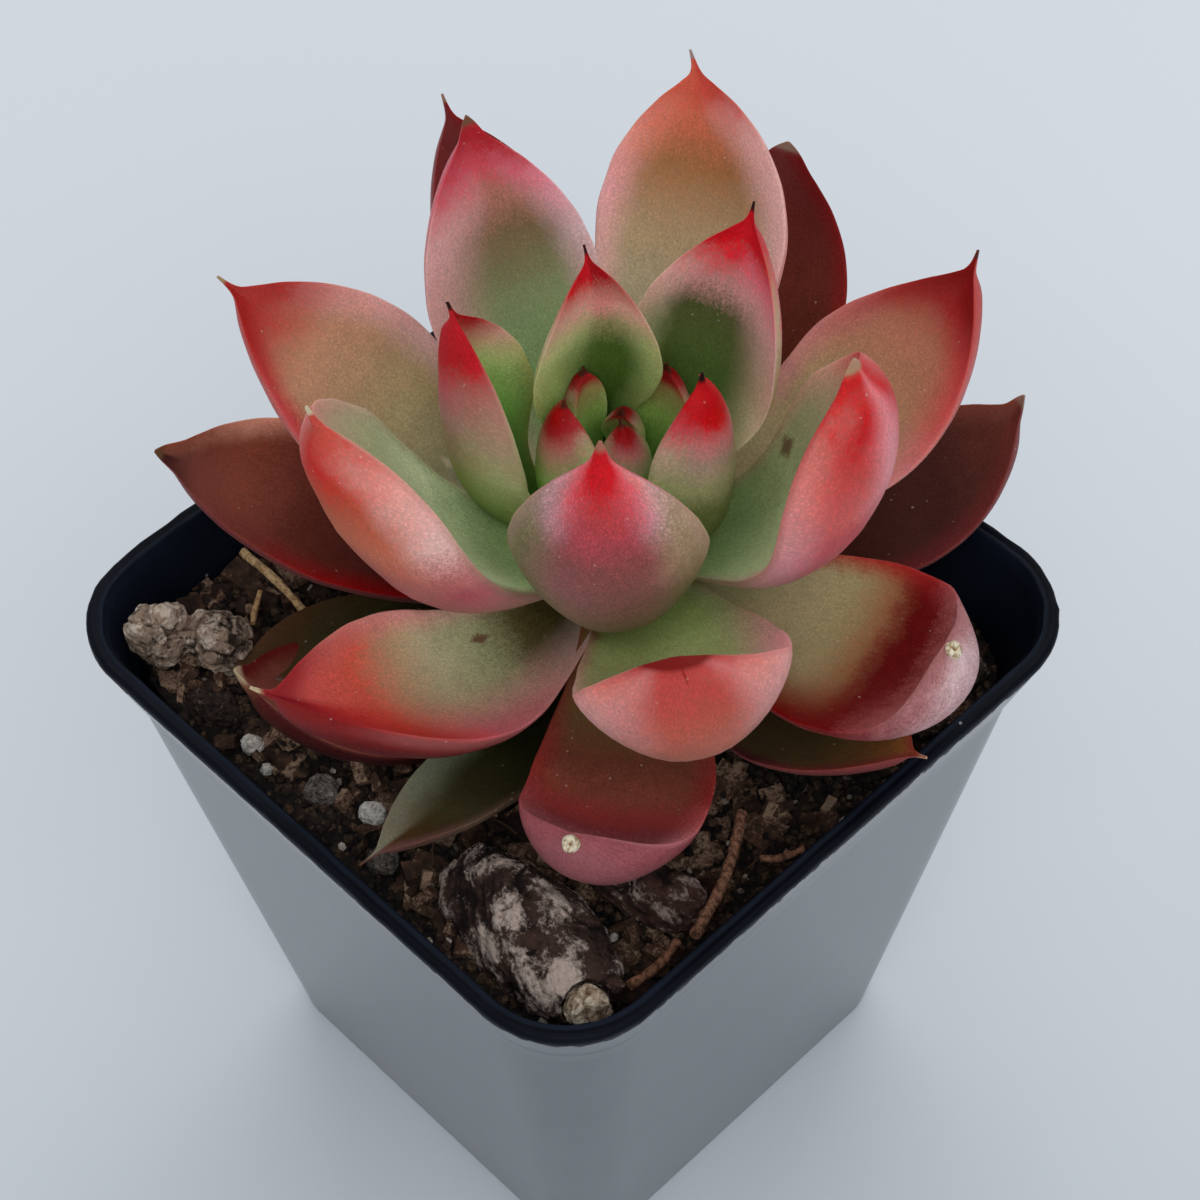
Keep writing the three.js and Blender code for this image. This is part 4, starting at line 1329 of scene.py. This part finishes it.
        # Painted light: the same black layer is given a lighter colour on the inner wall than on
        # the lip
        inside = graph.mix(cloud, srgb("0b0f16"), srgb("18202e"))
        ink = graph.mix(graph.step(layer, 0.6, 0.95), ink, inside)
        fleck = graph.flecks(place, 1.6, (0.86, 0.9), (0.16, 0.06))
        ink = graph.mix(graph.times(fleck, 0.7), ink, srgb("a7a9a6"))
        graph.coat = graph.step(black, 1.0, 0.0)
        rough = graph.math("ADD", graph.times(haze, 0.16), 0.36)
        relief = graph.sum(0.0, (black, 0.8), (haze, 0.1), (graph.noise(place, 0.7, 2, 0.5), 0.16))
        return graph.mix(black, grey, ink), rough, relief


POT = Pot()


# Soil


@dataclass(frozen=True)
class Earth:
    """A crumbly earth, bark or grit finish in three tones."""

    name: str
    dark: str
    mid: str
    light: str

    def paint(self, graph: Graph) -> Paint:
        """Paints lumps and grit, paler or darker from bit to bit."""
        place = graph.place()
        grit = graph.noise(place, 0.45, 3, 0.7)
        tone = graph.math("SUBTRACT", graph.attribute("tone"), 0.3)
        lump = graph.math("ADD", graph.noise(place, 2.2, 4, 0.65), graph.times(tone, 0.5))
        colour = graph.mix(graph.step(lump, 0.3, 0.62), srgb(self.dark), srgb(self.mid))
        bright = graph.step(graph.times(lump, grit), 0.28, 0.46)
        colour = graph.mix(bright, colour, srgb(self.light))
        rough = graph.math("ADD", graph.times(grit, 0.2), 0.72)
        return colour, rough, graph.math("ADD", lump, graph.times(grit, 0.8))

    def material(self) -> bpy.types.Material:
        """Makes the finish's material."""
        return Surface(0.3).material(self.name, self.paint, 0.5)


@dataclass(frozen=True)
class Scatter:
    """One kind of loose bit, strewn over the soil by a geometry tree."""

    name: str
    slot: str
    density: float
    size: Place
    spread: tuple[float, float]
    rough: float
    seed: int
    finish: Earth
    tumble: float = FULL_TURN
    blocky: bool = False

    def strew(self, bed: Piece) -> Piece:
        """Strews the bits over the bed, as one plain mesh."""
        low, high = self.spread
        sizes = {"Density": self.density, "Smallest": low, "Largest": high}
        graph = Growth(self.name, sizes)
        room = graph.math("MULTIPLY_ADD", graph.given["Largest"], 0.8 * self.size[0], 0.3)
        spots = graph.spots(room, self.seed)
        if self.blocky:
            sides = {"Size": (2, 2, 2), "Vertices X": 4, "Vertices Y": 3, "Vertices Z": 2}
            bit = graph.out("GeometryNodeMeshCube", sides)
        else:
            bit = graph.out("GeometryNodeMeshIcoSphere", {"Radius": 1.0, "Subdivisions": 1})
        shape = {"Geometry": bit, "Scale": [v * MM for v in self.size]}
        bit = graph.out("GeometryNodeTransform", shape)
        tip, turn = self.tumble / 2, HALF_TURN
        spin = graph.draw(self.seed + 1, (-tip, -tip, -turn), (tip, tip, turn))
        grow = graph.draw(self.seed + 2, graph.given["Smallest"], graph.given["Largest"])
        tone = graph.draw(self.seed + 3, 0.0, 1.0)
        kept = {"Geometry": graph.lay(spots, bit, spin, grow), "Name": "tone", "Value": tone}
        kind = "GeometryNodeStoreNamedAttribute"
        bits = graph.out(kind, kept, data_type="FLOAT", domain="INSTANCE")
        bits = graph.out("GeometryNodeRealizeInstances", {"Geometry": bits})
        place = graph.out("GeometryNodeInputPosition")
        dent = {"Vector": place, "Scale": 0.9 / MM, "Detail": 2.0, "Roughness": 0.6}
        dent = {0: graph.node("ShaderNodeTexNoise", dent).outputs["Color"], 1: (0.5, 0.5, 0.5)}
        dent = graph.out("ShaderNodeVectorMath", dent, operation="SUBTRACT")
        bits = graph.pushed(bits, dent, 2 * self.rough * MM)
        return graph.grown(self.name, bed.data.copy(), bits, self.finish.material())


SCATTERS = [
    Scatter(
        "soil_crumbs", "soil", 1.5, (1, 0.8, 0.6), (0.3, 0.95), 0.35, 4,
        Earth("soil_crumb", "120d0b", "30241c", "5c4734"),
    ),
    Scatter(
        "bark_bits", "bark", 0.09, (1.3, 0.8, 0.4), (0.6, 1.7), 0.4, 9,
        Earth("bark_bits_finish", "281a13", "523829", "9a7f68"), blocky=True,
    ),
    Scatter(
        "bark_flakes", "bark", 0.03, (2.0, 1.2, 0.4), (0.8, 1.5), 0.5, 23,
        Earth("bark_flakes_finish", "281a13", "523829", "9a7f68"), 0.6, True,
    ),
    Scatter(
        "pale_grains", "stone", 0.04, (1, 0.9, 0.8), (0.3, 0.8), 0.3, 17,
        Earth("pale_grit", "5f554c", "978b80", "d6cdc0"),
    ),
]


@dataclass
class Soil:
    """The potting mix: a lumpy bed with crumbs, bark bits, grains and fibres on it."""

    level: float = 75.0
    tilt: float = 0.035
    lump: float = 1.1
    crumb: float = 0.55
    gap: float = 0.3
    foot: float = 2.3
    stem_foot: float = 55.0
    rings: int = 54
    ring_crowding: float = 0.85
    edge_drop: float = 3.2
    edge_corner: float = 10.0
    top_corner: float = 10.4
    foot_corner: float = 5.0
    fibres_per_area: float = 0.022
    fibre_length: float = 5.5
    fibre_radius: float = 0.13
    fibre_tip: float = 0.25

    def height_at(self, x: Array, y: Array) -> Array:
        """Gives the bed's height over the pot's underside."""
        flat = np.column_stack([x, y, np.zeros_like(x)])
        lumps = noise_at(flat, 7, 5.0, 2) * self.lump
        crumbs = noise_at(flat, 1.8, 9.0, 3) * self.crumb
        return self.level - 0.4 - self.tilt * (x + y) + lumps + crumbs

    def build(self) -> list[tuple[Piece, str]]:
        """Builds the bed and strews the loose bits, each with its slot."""
        bed = self.bed()
        loose = [(scatter.strew(bed), scatter.slot) for scatter in SCATTERS]
        return [(bed, "soil"), *loose, (self.fibres(bed), "twig")]

    def bed(self) -> Piece:
        """Builds the bed, filled down to the pot's floor."""
        edge = self.level - self.tilt * POT.rim_side - self.edge_drop
        foot_side, rim_side, wall_side = (
            POT.cavity_side(height) - 2 * self.gap for height in (self.foot, edge, self.level)
        )
        rim = POT.square(rim_side, self.edge_corner, edge)
        rings = [POT.square(foot_side, self.foot_corner, self.foot), rim]
        top = POT.square(wall_side - 2 * self.gap, self.top_corner, 0)[:, :2]
        stem = np.array([ROSETTE.stem_x, ROSETTE.stem_y])
        away = top - stem
        away = away / np.linalg.norm(away, axis=1)[:, None]
        hole = stem + away * (ROSETTE.stem_radius + self.gap)
        clear = []
        for share in np.linspace(0, 1, self.rings) ** self.ring_crowding:
            flat = top + (hole - top) * share
            rings.append(np.column_stack([flat, self.height_at(flat[:, 0], flat[:, 1])]))
            clear.append(np.linalg.norm(top - flat, axis=1))
        rings.append(np.column_stack([hole, np.full(len(hole), self.stem_foot)]))
        points, faces = loft(np.array(rings))
        inner = np.zeros(len(points))
        count = len(rim)
        inner[2 * count : (2 + len(clear)) * count] = np.concatenate(clear)
        body = mesh_object("soil_bed", points, faces, {"inner": inner})
        return dressed(body, Earth("damp_soil", "120c0a", "36281f", "6a5240").material())

    def fibres(self, bed: Piece) -> Piece:
        """Lays thin dry fibres over the bed."""
        sizes = {"Density": self.fibres_per_area, "Length": self.fibre_length}
        graph = Growth("soil_fibres", sizes | {"Thickness": self.fibre_radius})
        spots = graph.spots(graph.times(graph.given["Length"], 0.6), 31)
        long = graph.times(graph.given["Length"], MM)
        end = graph.out("ShaderNodeCombineXYZ", {"X": long})
        bow = {"X": graph.times(long, 0.5), "Y": 0.9 * MM, "Z": 0.5 * MM}
        bow = graph.out("ShaderNodeCombineXYZ", bow)
        line = {"Resolution": 8, "Start": (0, 0, 0), "Middle": bow, "End": end}
        tube = graph.tube(graph.out("GeometryNodeCurveQuadraticBezier", line), 5, "Thickness")
        tip = self.fibre_tip
        spin = graph.draw(32, (-tip, -tip, 0), (tip, tip, FULL_TURN))
        laid = graph.lay(spots, tube, spin, graph.draw(33, 0.5, 1.2))
        finish = Earth("dry_fibre", "4a3424", "7a5a3e", "a5855c").material()
        return graph.grown("soil_fibres", bed.data.copy(), laid, finish)


# Stones and bark


@dataclass(frozen=True)
class Rock:
    """How a stone, chip or grain is roughened and coloured."""

    node: str
    slot: str
    dark: str
    mid: str
    pale: str
    pale_share: float
    depth: float
    size: float
    levels: int = 3
    flaky: float = 0.0
    grain: Place = (0.3, 0.15, 0.5)

    def relief(self, place: Array) -> Array:
        """Works out lumps, ridges, flakes and cracks at points, in millimetres."""
        seed = sum(map(ord, self.node)) % 17
        coarse = noise_at(place, self.size, seed, 2)
        ridges = 1 - 2 * np.abs(noise_at(place, 0.55 * self.size, seed + 5, 3))
        crack = 1 - ease(np.abs(noise_at(place, 0.9 * self.size, seed + 9, 2)), 0.0, 0.13)
        layer = place @ np.array(self.grain) + 0.8 * coarse
        flake = (layer - np.floor(layer) - 0.5) * self.flaky
        return 0.5 * coarse + 0.22 * ridges + flake - 0.35 * crack

    def build(self) -> Piece:
        """Copies the CAD stone, divides it and roughens its surface."""
        body = linked(f"{self.node}_rough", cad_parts[self.node].data.copy())
        weld = body.modifiers.new("weld", "WELD")
        weld.merge_threshold = 1e-6
        fine = body.modifiers.new("fine", "SUBSURF")
        fine.subdivision_type = "SIMPLE"
        fine.levels = fine.render_levels = self.levels
        plain_mesh(body)
        mesh = body.data
        place, way = np.zeros((2, 3 * len(mesh.vertices)))
        mesh.vertices.foreach_get("co", place)
        mesh.vertex_normals.foreach_get("vector", way)
        place, way = place.reshape(-1, 3) / MM, way.reshape(-1, 3)
        relief = self.relief(place)
        place = place + way * (self.depth * (relief - 0.3))[:, None]
        rise = mesh.attributes.new("rise", "FLOAT", "POINT")
        rise.data.foreach_set("value", (0.5 + 0.5 * relief).astype(np.float32))
        mesh.vertices.foreach_set("co", (place * MM).ravel())
        mesh.polygons.foreach_set("use_smooth", [True] * len(mesh.polygons))
        mesh.update()
        finish = Surface(0.25).material(f"{self.node}_finish", self.paint, 0.6)
        return dressed(body, finish)

    def paint(self, graph: Graph) -> Paint:
        """Paints the mottled mineral or bark."""
        place = graph.place()
        bands = graph.stretch(place, (1, 1, 2.2), (30, 20, 0))
        rise = graph.lean(graph.attribute("rise"))
        patch = graph.noise(bands, 0.55 * self.size, 4, 0.58, 0.3)
        grit = graph.swing(place, 0.55, 4, 0.75)
        crack = graph.noise(bands, 0.35 * self.size, 3, 0.6)
        deep = graph.sum(crack, (rise, 0.8), (grit, 0.3))
        colour = graph.mix(graph.step(deep, 0.3, 0.6), srgb(self.dark), srgb(self.mid))
        low = 0.72 - 0.35 * self.pale_share
        blend = graph.sum(patch, (grit, 0.5), (rise, 0.4))
        colour = graph.mix(graph.step(blend, low - 0.06, low + 0.15), colour, srgb(self.pale))
        colour = graph.shaded(colour, graph.sum(1.0, (grit, 1.0)))
        return colour, 0.85, graph.sum(crack, (grit, 1.2))


ROCKS = [
    Rock("left_stone", "stone", "3a2e26", "a48c78", "d8c6b4", 0.5, 1.3, 5.0, 4, 0.25),
    Rock("front_bark", "bark", "1c110e", "4a352d", "d0bdb0", 0.5, 0.9, 7.5, 4, 0.3),
    Rock(
        "side_bark", "bark", "1c100c", "4a3028", "ac978c", 0.36, 0.8, 6.0, 4, 0.35,
        (0.2, 0.4, 0.35),
    ),
    Rock("left_chip", "bark", "1f1714", "3e2f28", "7d6c60", 0.2, 0.6, 2.0),
    Rock("right_chip_1", "bark", "1f1714", "4a382e", "8f7d6f", 0.3, 0.6, 2.0),
    Rock("right_chip_2", "bark", "1f1714", "46352c", "7d6c60", 0.2, 0.6, 2.0),
    Rock("tan_chip", "tan_bark", "8a7058", "c4ab8e", "f0e0c8", 0.5, 0.7, 2.8, 3, 0.4),
    Rock("gravel_1", "stone", "4a433e", "7d746c", "9d958c", 0.3, 0.4, 1.5),
    Rock("gravel_2", "stone", "423b36", "6d645c", "958d84", 0.3, 0.4, 1.5),
    Rock("perlite_1", "perlite", "cfc6b8", "efe8dc", "f8f4ec", 0.6, 0.35, 1.2),
    Rock("perlite_2", "perlite", "cfc6b8", "efe8dc", "f8f4ec", 0.6, 0.35, 1.1),
    Rock("perlite_3", "perlite", "cfc6b8", "efe8dc", "f8f4ec", 0.6, 0.2, 0.8),
]


# Twigs


@dataclass(frozen=True)
class Twig:
    """A twig or straw along a route, its radius and points in millimetres."""

    node: str
    slot: str
    radius: float
    route: tuple[Place, ...]
    dark: str
    light: str
    stations: int = 40
    sides: int = 14

    def build(self) -> Piece:
        """Sweeps an uneven ring along the route and keeps it as a plain mesh."""
        curve = bpy.data.curves.new(self.node, "CURVE")
        curve.dimensions = "3D"
        spline = curve.splines.new("BEZIER")
        spline.bezier_points.add(len(self.route) - 1)
        for point, place in zip(spline.bezier_points, self.route):
            point.co = Vector(place) * MM
            point.handle_left_type = point.handle_right_type = "AUTO"
        graph = Growth(f"{self.node}_sweep", {"Radius": self.radius})
        line = {"Curve": graph.given["Geometry"], "Count": self.stations}
        line = graph.out("GeometryNodeResampleCurve", line)
        tube = graph.tube(line, self.sides, "Radius")
        place = graph.out("GeometryNodeInputPosition")
        knots = {"Vector": place, "Scale": 0.45 / MM, "Detail": 3.0, "Roughness": 0.6}
        knots = graph.node("ShaderNodeTexNoise", knots).outputs["Fac"]
        depth = graph.times(graph.math("SUBTRACT", knots, 0.6), 0.9 * self.radius * MM)
        solid = graph.pushed(tube, graph.out("GeometryNodeInputNormal"), depth)
        solid = graph.out("GeometryNodeSetShadeSmooth", {"Geometry": solid})
        finish = Surface(0.25).material(f"{self.node}_finish", self.paint, 0.25)
        return graph.grown(f"{self.node}_bark", curve, solid, finish)

    def paint(self, graph: Graph) -> Paint:
        """Paints the stringy bark."""
        string = graph.noise(graph.stretch(graph.place(), (1, 1, 0.5)), 0.6, 4, 0.7)
        colour = graph.mix(graph.step(string, 0.35, 0.65), srgb(self.dark), srgb(self.light))
        return colour, 0.8, string


TWIGS = [
    Twig(
        "twig_1", "twig", 0.7, ((29.6, -3, 78.2), (34.2, -10.4, 78.7), (37.2, -18.2, 79.2)),
        "4c3022", "a0735a",
    ),
    Twig(
        "twig_2", "twig", 0.6, ((35.9, -19.6, 77.9), (36.9, -23.6, 78.8), (36.8, -27.6, 79.6)),
        "4c3022", "96694f",
    ),
    Twig(
        "twig_3", "twig", 0.45, ((34.9, -5.6, 77.6), (36.6, -4, 77.9), (37.6, -1.6, 78.2)),
        "4c3022", "a0735a",
    ),
    Twig(
        "straw_1", "straw", 0.55, ((-36.3, -18.6, 79.8), (-30.4, -18.2, 78.8), (-25, -18.6, 77.8)),
        "9a774e", "e2bd8c",
    ),
    Twig(
        "straw_2", "straw", 0.4, ((-31.5, -20.2, 77.9), (-30, -22.2, 78), (-28.4, -24, 78.2)),
        "9a774e", "d6ae7c",
    ),
]


# Stem


@dataclass
class Stem:
    """The short stem, ringed by the scars of fallen leaves."""

    foot: float = 55.0
    sides: int = 48
    skin_depth: float = 0.15
    scar_depth: float = 0.12
    scar_pitch: float = 2.6
    scar_starts: int = 3
    outline: tuple[tuple[float, float], ...] = (
        (0, 0.02), (0.02, 3.5), (15, 4.3), (37.2, 4.3), (45, 2.5), (45.8, 1.25), (46, 0.02),
    )

    def build(self) -> Piece:
        """Builds and dresses the stem."""
        heights = np.concatenate([np.linspace(0, 45, 120), [45.4, 45.8, 45.97]])[:, None]
        radius = np.interp(heights, *np.array(self.outline).T)
        turn = np.arange(self.sides)[None, :] / self.sides
        winding = heights / self.scar_pitch + self.scar_starts * turn
        scars = self.scar_depth * np.sin(2 * np.pi * winding)
        width = np.maximum(radius - self.skin_depth + scars * (radius > 2), 0.02)
        x = ROSETTE.stem_x + width * np.cos(2 * np.pi * turn)
        y = ROSETTE.stem_y + width * np.sin(2 * np.pi * turn)
        z = np.broadcast_to(heights + self.foot, width.shape)
        body = mesh_object("stem_skin", *loft(np.stack([x, y, z], axis=-1)))
        return dressed(body, Surface(0.3).material("stem_skin", self.paint, 0.3))

    def paint(self, graph: Graph) -> Paint:
        """Paints the papery skin."""
        flake = graph.noise(graph.stretch(graph.place(), (1, 1, 2.5)), 1.6, 4, 0.65)
        return graph.mix(flake, srgb("5f4d31"), srgb("a39468")), 0.75, flake


# Rosette's dried knobs


@dataclass(frozen=True)
class Knob:
    """The dried round mark that is left where a leaf's point has broken off."""

    leaf: str
    place: float
    radius: float = 0.95
    sides: int = 24
    span: float = 0.02
    hole: float = 0.2
    profile: tuple[tuple[float, float], ...] = (
        (0.001, 0.1), (0.12, 0.1), (0.3, 0.16), (0.42, 0.42), (0.62, 0.5),
        (0.85, 0.42), (1.0, 0.2), (1.05, -0.1), (0.9, -0.4),
    )

    def build(self) -> Piece:
        """Seats the knob on the end of its leaf."""
        owner = next(leaf for leaf in LEAVES if leaf.name == self.leaf)
        stations = np.array([self.place - self.span, self.place, self.place + self.span])
        rings, _ = owner.rings(stations)
        low = 3 * ROSETTE.sides // 4
        seat = Vector(rings[1, low])
        along = Vector(rings[2, low]) - Vector(rings[0, low])
        aside = Vector(rings[1, low + 3]) - Vector(rings[1, low - 3])
        up = aside.cross(along).normalized()
        if up.dot(seat - Vector(rings[1].mean(0))) < 0:
            up = -up
        turn = up.to_track_quat("Z", "Y").to_matrix()
        reach, height = np.array(self.profile).T[:, :, None] * self.radius
        angle = -2 * np.pi * np.arange(self.sides) / self.sides
        uneven = 1 + 0.04 * np.sin(3 * angle + 1) + 0.03 * np.sin(5 * angle)
        x, y = reach * np.cos(angle) * uneven, reach * np.sin(angle) * uneven
        points, faces = loft(np.stack([x, y, np.broadcast_to(height, x.shape)], axis=-1))
        points = points @ np.array(turn).T + np.array(seat)
        middle = np.linalg.norm(points - np.array(seat), axis=1) < self.hole * self.radius
        body = mesh_object(f"{self.leaf}_knob", points, faces, {"hole": middle.astype(float)})
        return dressed(body, Surface(0.3).material(f"{self.leaf}_knob_finish", self.paint, 0.15))

    def paint(self, graph: Graph) -> Paint:
        """Paints the dry, creamy scar tissue."""
        flake = graph.noise(graph.place(), 0.4, 3, 0.6)
        colour = graph.mix(graph.step(flake, 0.35, 0.6), srgb("a08a64"), srgb("ece0c4"))
        return graph.mix(graph.attribute("hole"), colour, srgb("8a6648")), 0.8, flake


KNOBS = [Knob("outer_leaf_3", 0.985), Knob("outer_leaf_5", 0.985)]


# Studio


@dataclass
class Studio:
    """A plain pale floor, soft light from above and behind, and the photograph's camera."""

    azimuth: float = 46.532
    elevation: float = 52.9
    distance: float = 338.68
    target: Place = (1.443, 3.054, 85.04)
    roll: float = -1.506
    focal: float = 89.916
    sensor: float = 36.0
    floor_half_side: float = 3000.0
    lights_aim: Place = (0, 8, 90)
    lights: tuple[tuple[str, Place, float, float, str], ...] = (
        ("key", (-300, 380, 700), 800, 2.2, "ffffff"),
        ("fill", (460, -330, 620), 800, 2.6, "fbfcff"),
    )

    def build(self) -> None:
        """Sets the floor, the lights, the sky and the camera."""
        self.floor()
        self.sky()
        for name, place, size, power, colour in self.lights:
            self.light(name, place, size, power, colour)
        self.camera()

    def floor(self) -> None:
        """Lays the floor."""
        corners = np.array([(-1, -1, 0), (1, -1, 0), (1, 1, 0), (-1, 1, 0)])
        body = mesh_object("floor", corners * self.floor_half_side, [[0, 1, 2, 3]])
        dressed(body, Surface(0.2).material("floor_paper", self.paint, 0.0))

    def paint(self, graph: Graph) -> Paint:
        """Paints the floor's pale paper, with painted shade that darkens it towards the camera."""
        place = graph.place()
        cloud = graph.swing(place, 60, 3, 0.5)
        spots = graph.node("ShaderNodeSeparateXYZ", {0: place}).outputs
        # Painted shade: the paper darkens towards the camera, where less light falls
        depth = graph.sum(0.5, (spots["Y"], 2.2), (spots["X"], -2.2), (cloud, 0.2))
        return graph.mix(graph.step(depth, 0.0, 1.0), srgb("ccd2d8"), srgb("e2e7ec")), 0.7, None

    def sky(self) -> None:
        """Lights everything softly from all round."""
        world = bpy.data.worlds.new("soft_room")
        world.use_nodes = True
        graph = Graph(world.node_tree)
        shader = graph.out("ShaderNodeBackground", {"Color": srgb("eef2f7"), "Strength": 0.55})
        graph.node("ShaderNodeOutputWorld", {"Surface": shader})
        bpy.context.scene.world = world

    def light(self, name: str, place: Place, size: float, power: float, colour: str) -> None:
        """Hangs one soft box that faces the rosette.

        Args:
            name: The light's name.
            place: Where it hangs, in millimetres.
            size: Its side in millimetres.
            power: Its power in watts.
            colour: Its colour.
        """
        lamp = bpy.data.lights.new(name, "AREA")
        lamp.size = size * MM
        lamp.energy = power
        lamp.color = srgb(colour)[:3]
        body = linked(name, lamp)
        body.location = Vector(place) * MM
        way = Vector(self.lights_aim) * MM - body.location
        body.rotation_euler = way.to_track_quat("-Z", "Y").to_euler()

    def camera(self) -> None:
        """Stands the camera at the photograph's place."""
        azimuth, elevation = math.radians(self.azimuth), math.radians(self.elevation)
        level = math.cos(elevation)
        back = Vector((math.sin(azimuth) * level, -math.cos(azimuth) * level, math.sin(elevation)))
        eye = (Vector(self.target) + back * self.distance) * MM
        right = (-back).cross(Vector((0, 0, 1))).normalized()
        up = right.cross(-back)
        roll = math.radians(self.roll)
        c, s = math.cos(roll), math.sin(roll)
        right, up = right * c + up * s, up * c - right * s
        lens = bpy.data.cameras.new("camera")
        lens.lens, lens.sensor_width, lens.clip_start = self.focal, self.sensor, 0.01
        body = linked("camera", lens)
        turn = Matrix((right, up, back)).transposed().to_4x4()
        body.matrix_world = Matrix.Translation(eye) @ turn
        bpy.context.scene.camera = body


def join_bud() -> Piece:
    """Joins the two smallest leaves into the rosette's bud."""
    bodies = [leaf.build() for leaf in BUD]
    first = bodies[0]
    with bpy.context.temp_override(active_object=first, selected_editable_objects=bodies):
        bpy.ops.object.join()
    first.name = "heart_bud_skin"
    return first


def main() -> None:
    """Builds the object's sub-assemblies and the studio in order."""
    logging.basicConfig(level=logging.INFO, format="%(message)s")
    bpy.context.scene.view_settings.view_transform = "Standard"
    Studio().build()
    hand_in(POT.build(), "pot", "pot")
    for number, (piece, slot) in enumerate(Soil().build()):
        hand_in(piece, slot, *(["soil"] if number == 0 else []))
    hand_in(Stem().build(), "stem", "stem")
    for rock in ROCKS:
        hand_in(rock.build(), rock.slot, rock.node)
    for twig in TWIGS:
        hand_in(twig.build(), twig.slot, twig.node)
    hand_in(join_bud(), "heart_leaf", "heart_bud")
    for leaf in LEAVES:
        slot = leaf.name.split("_")[0] + "_leaf"
        body = leaf.build()
        body.name = f"{leaf.name}_blade"
        hand_in(body, slot, leaf.name)
    for knob in KNOBS:
        hand_in(knob.build(), "outer_leaf")


if __name__ == "__main__":
    main()
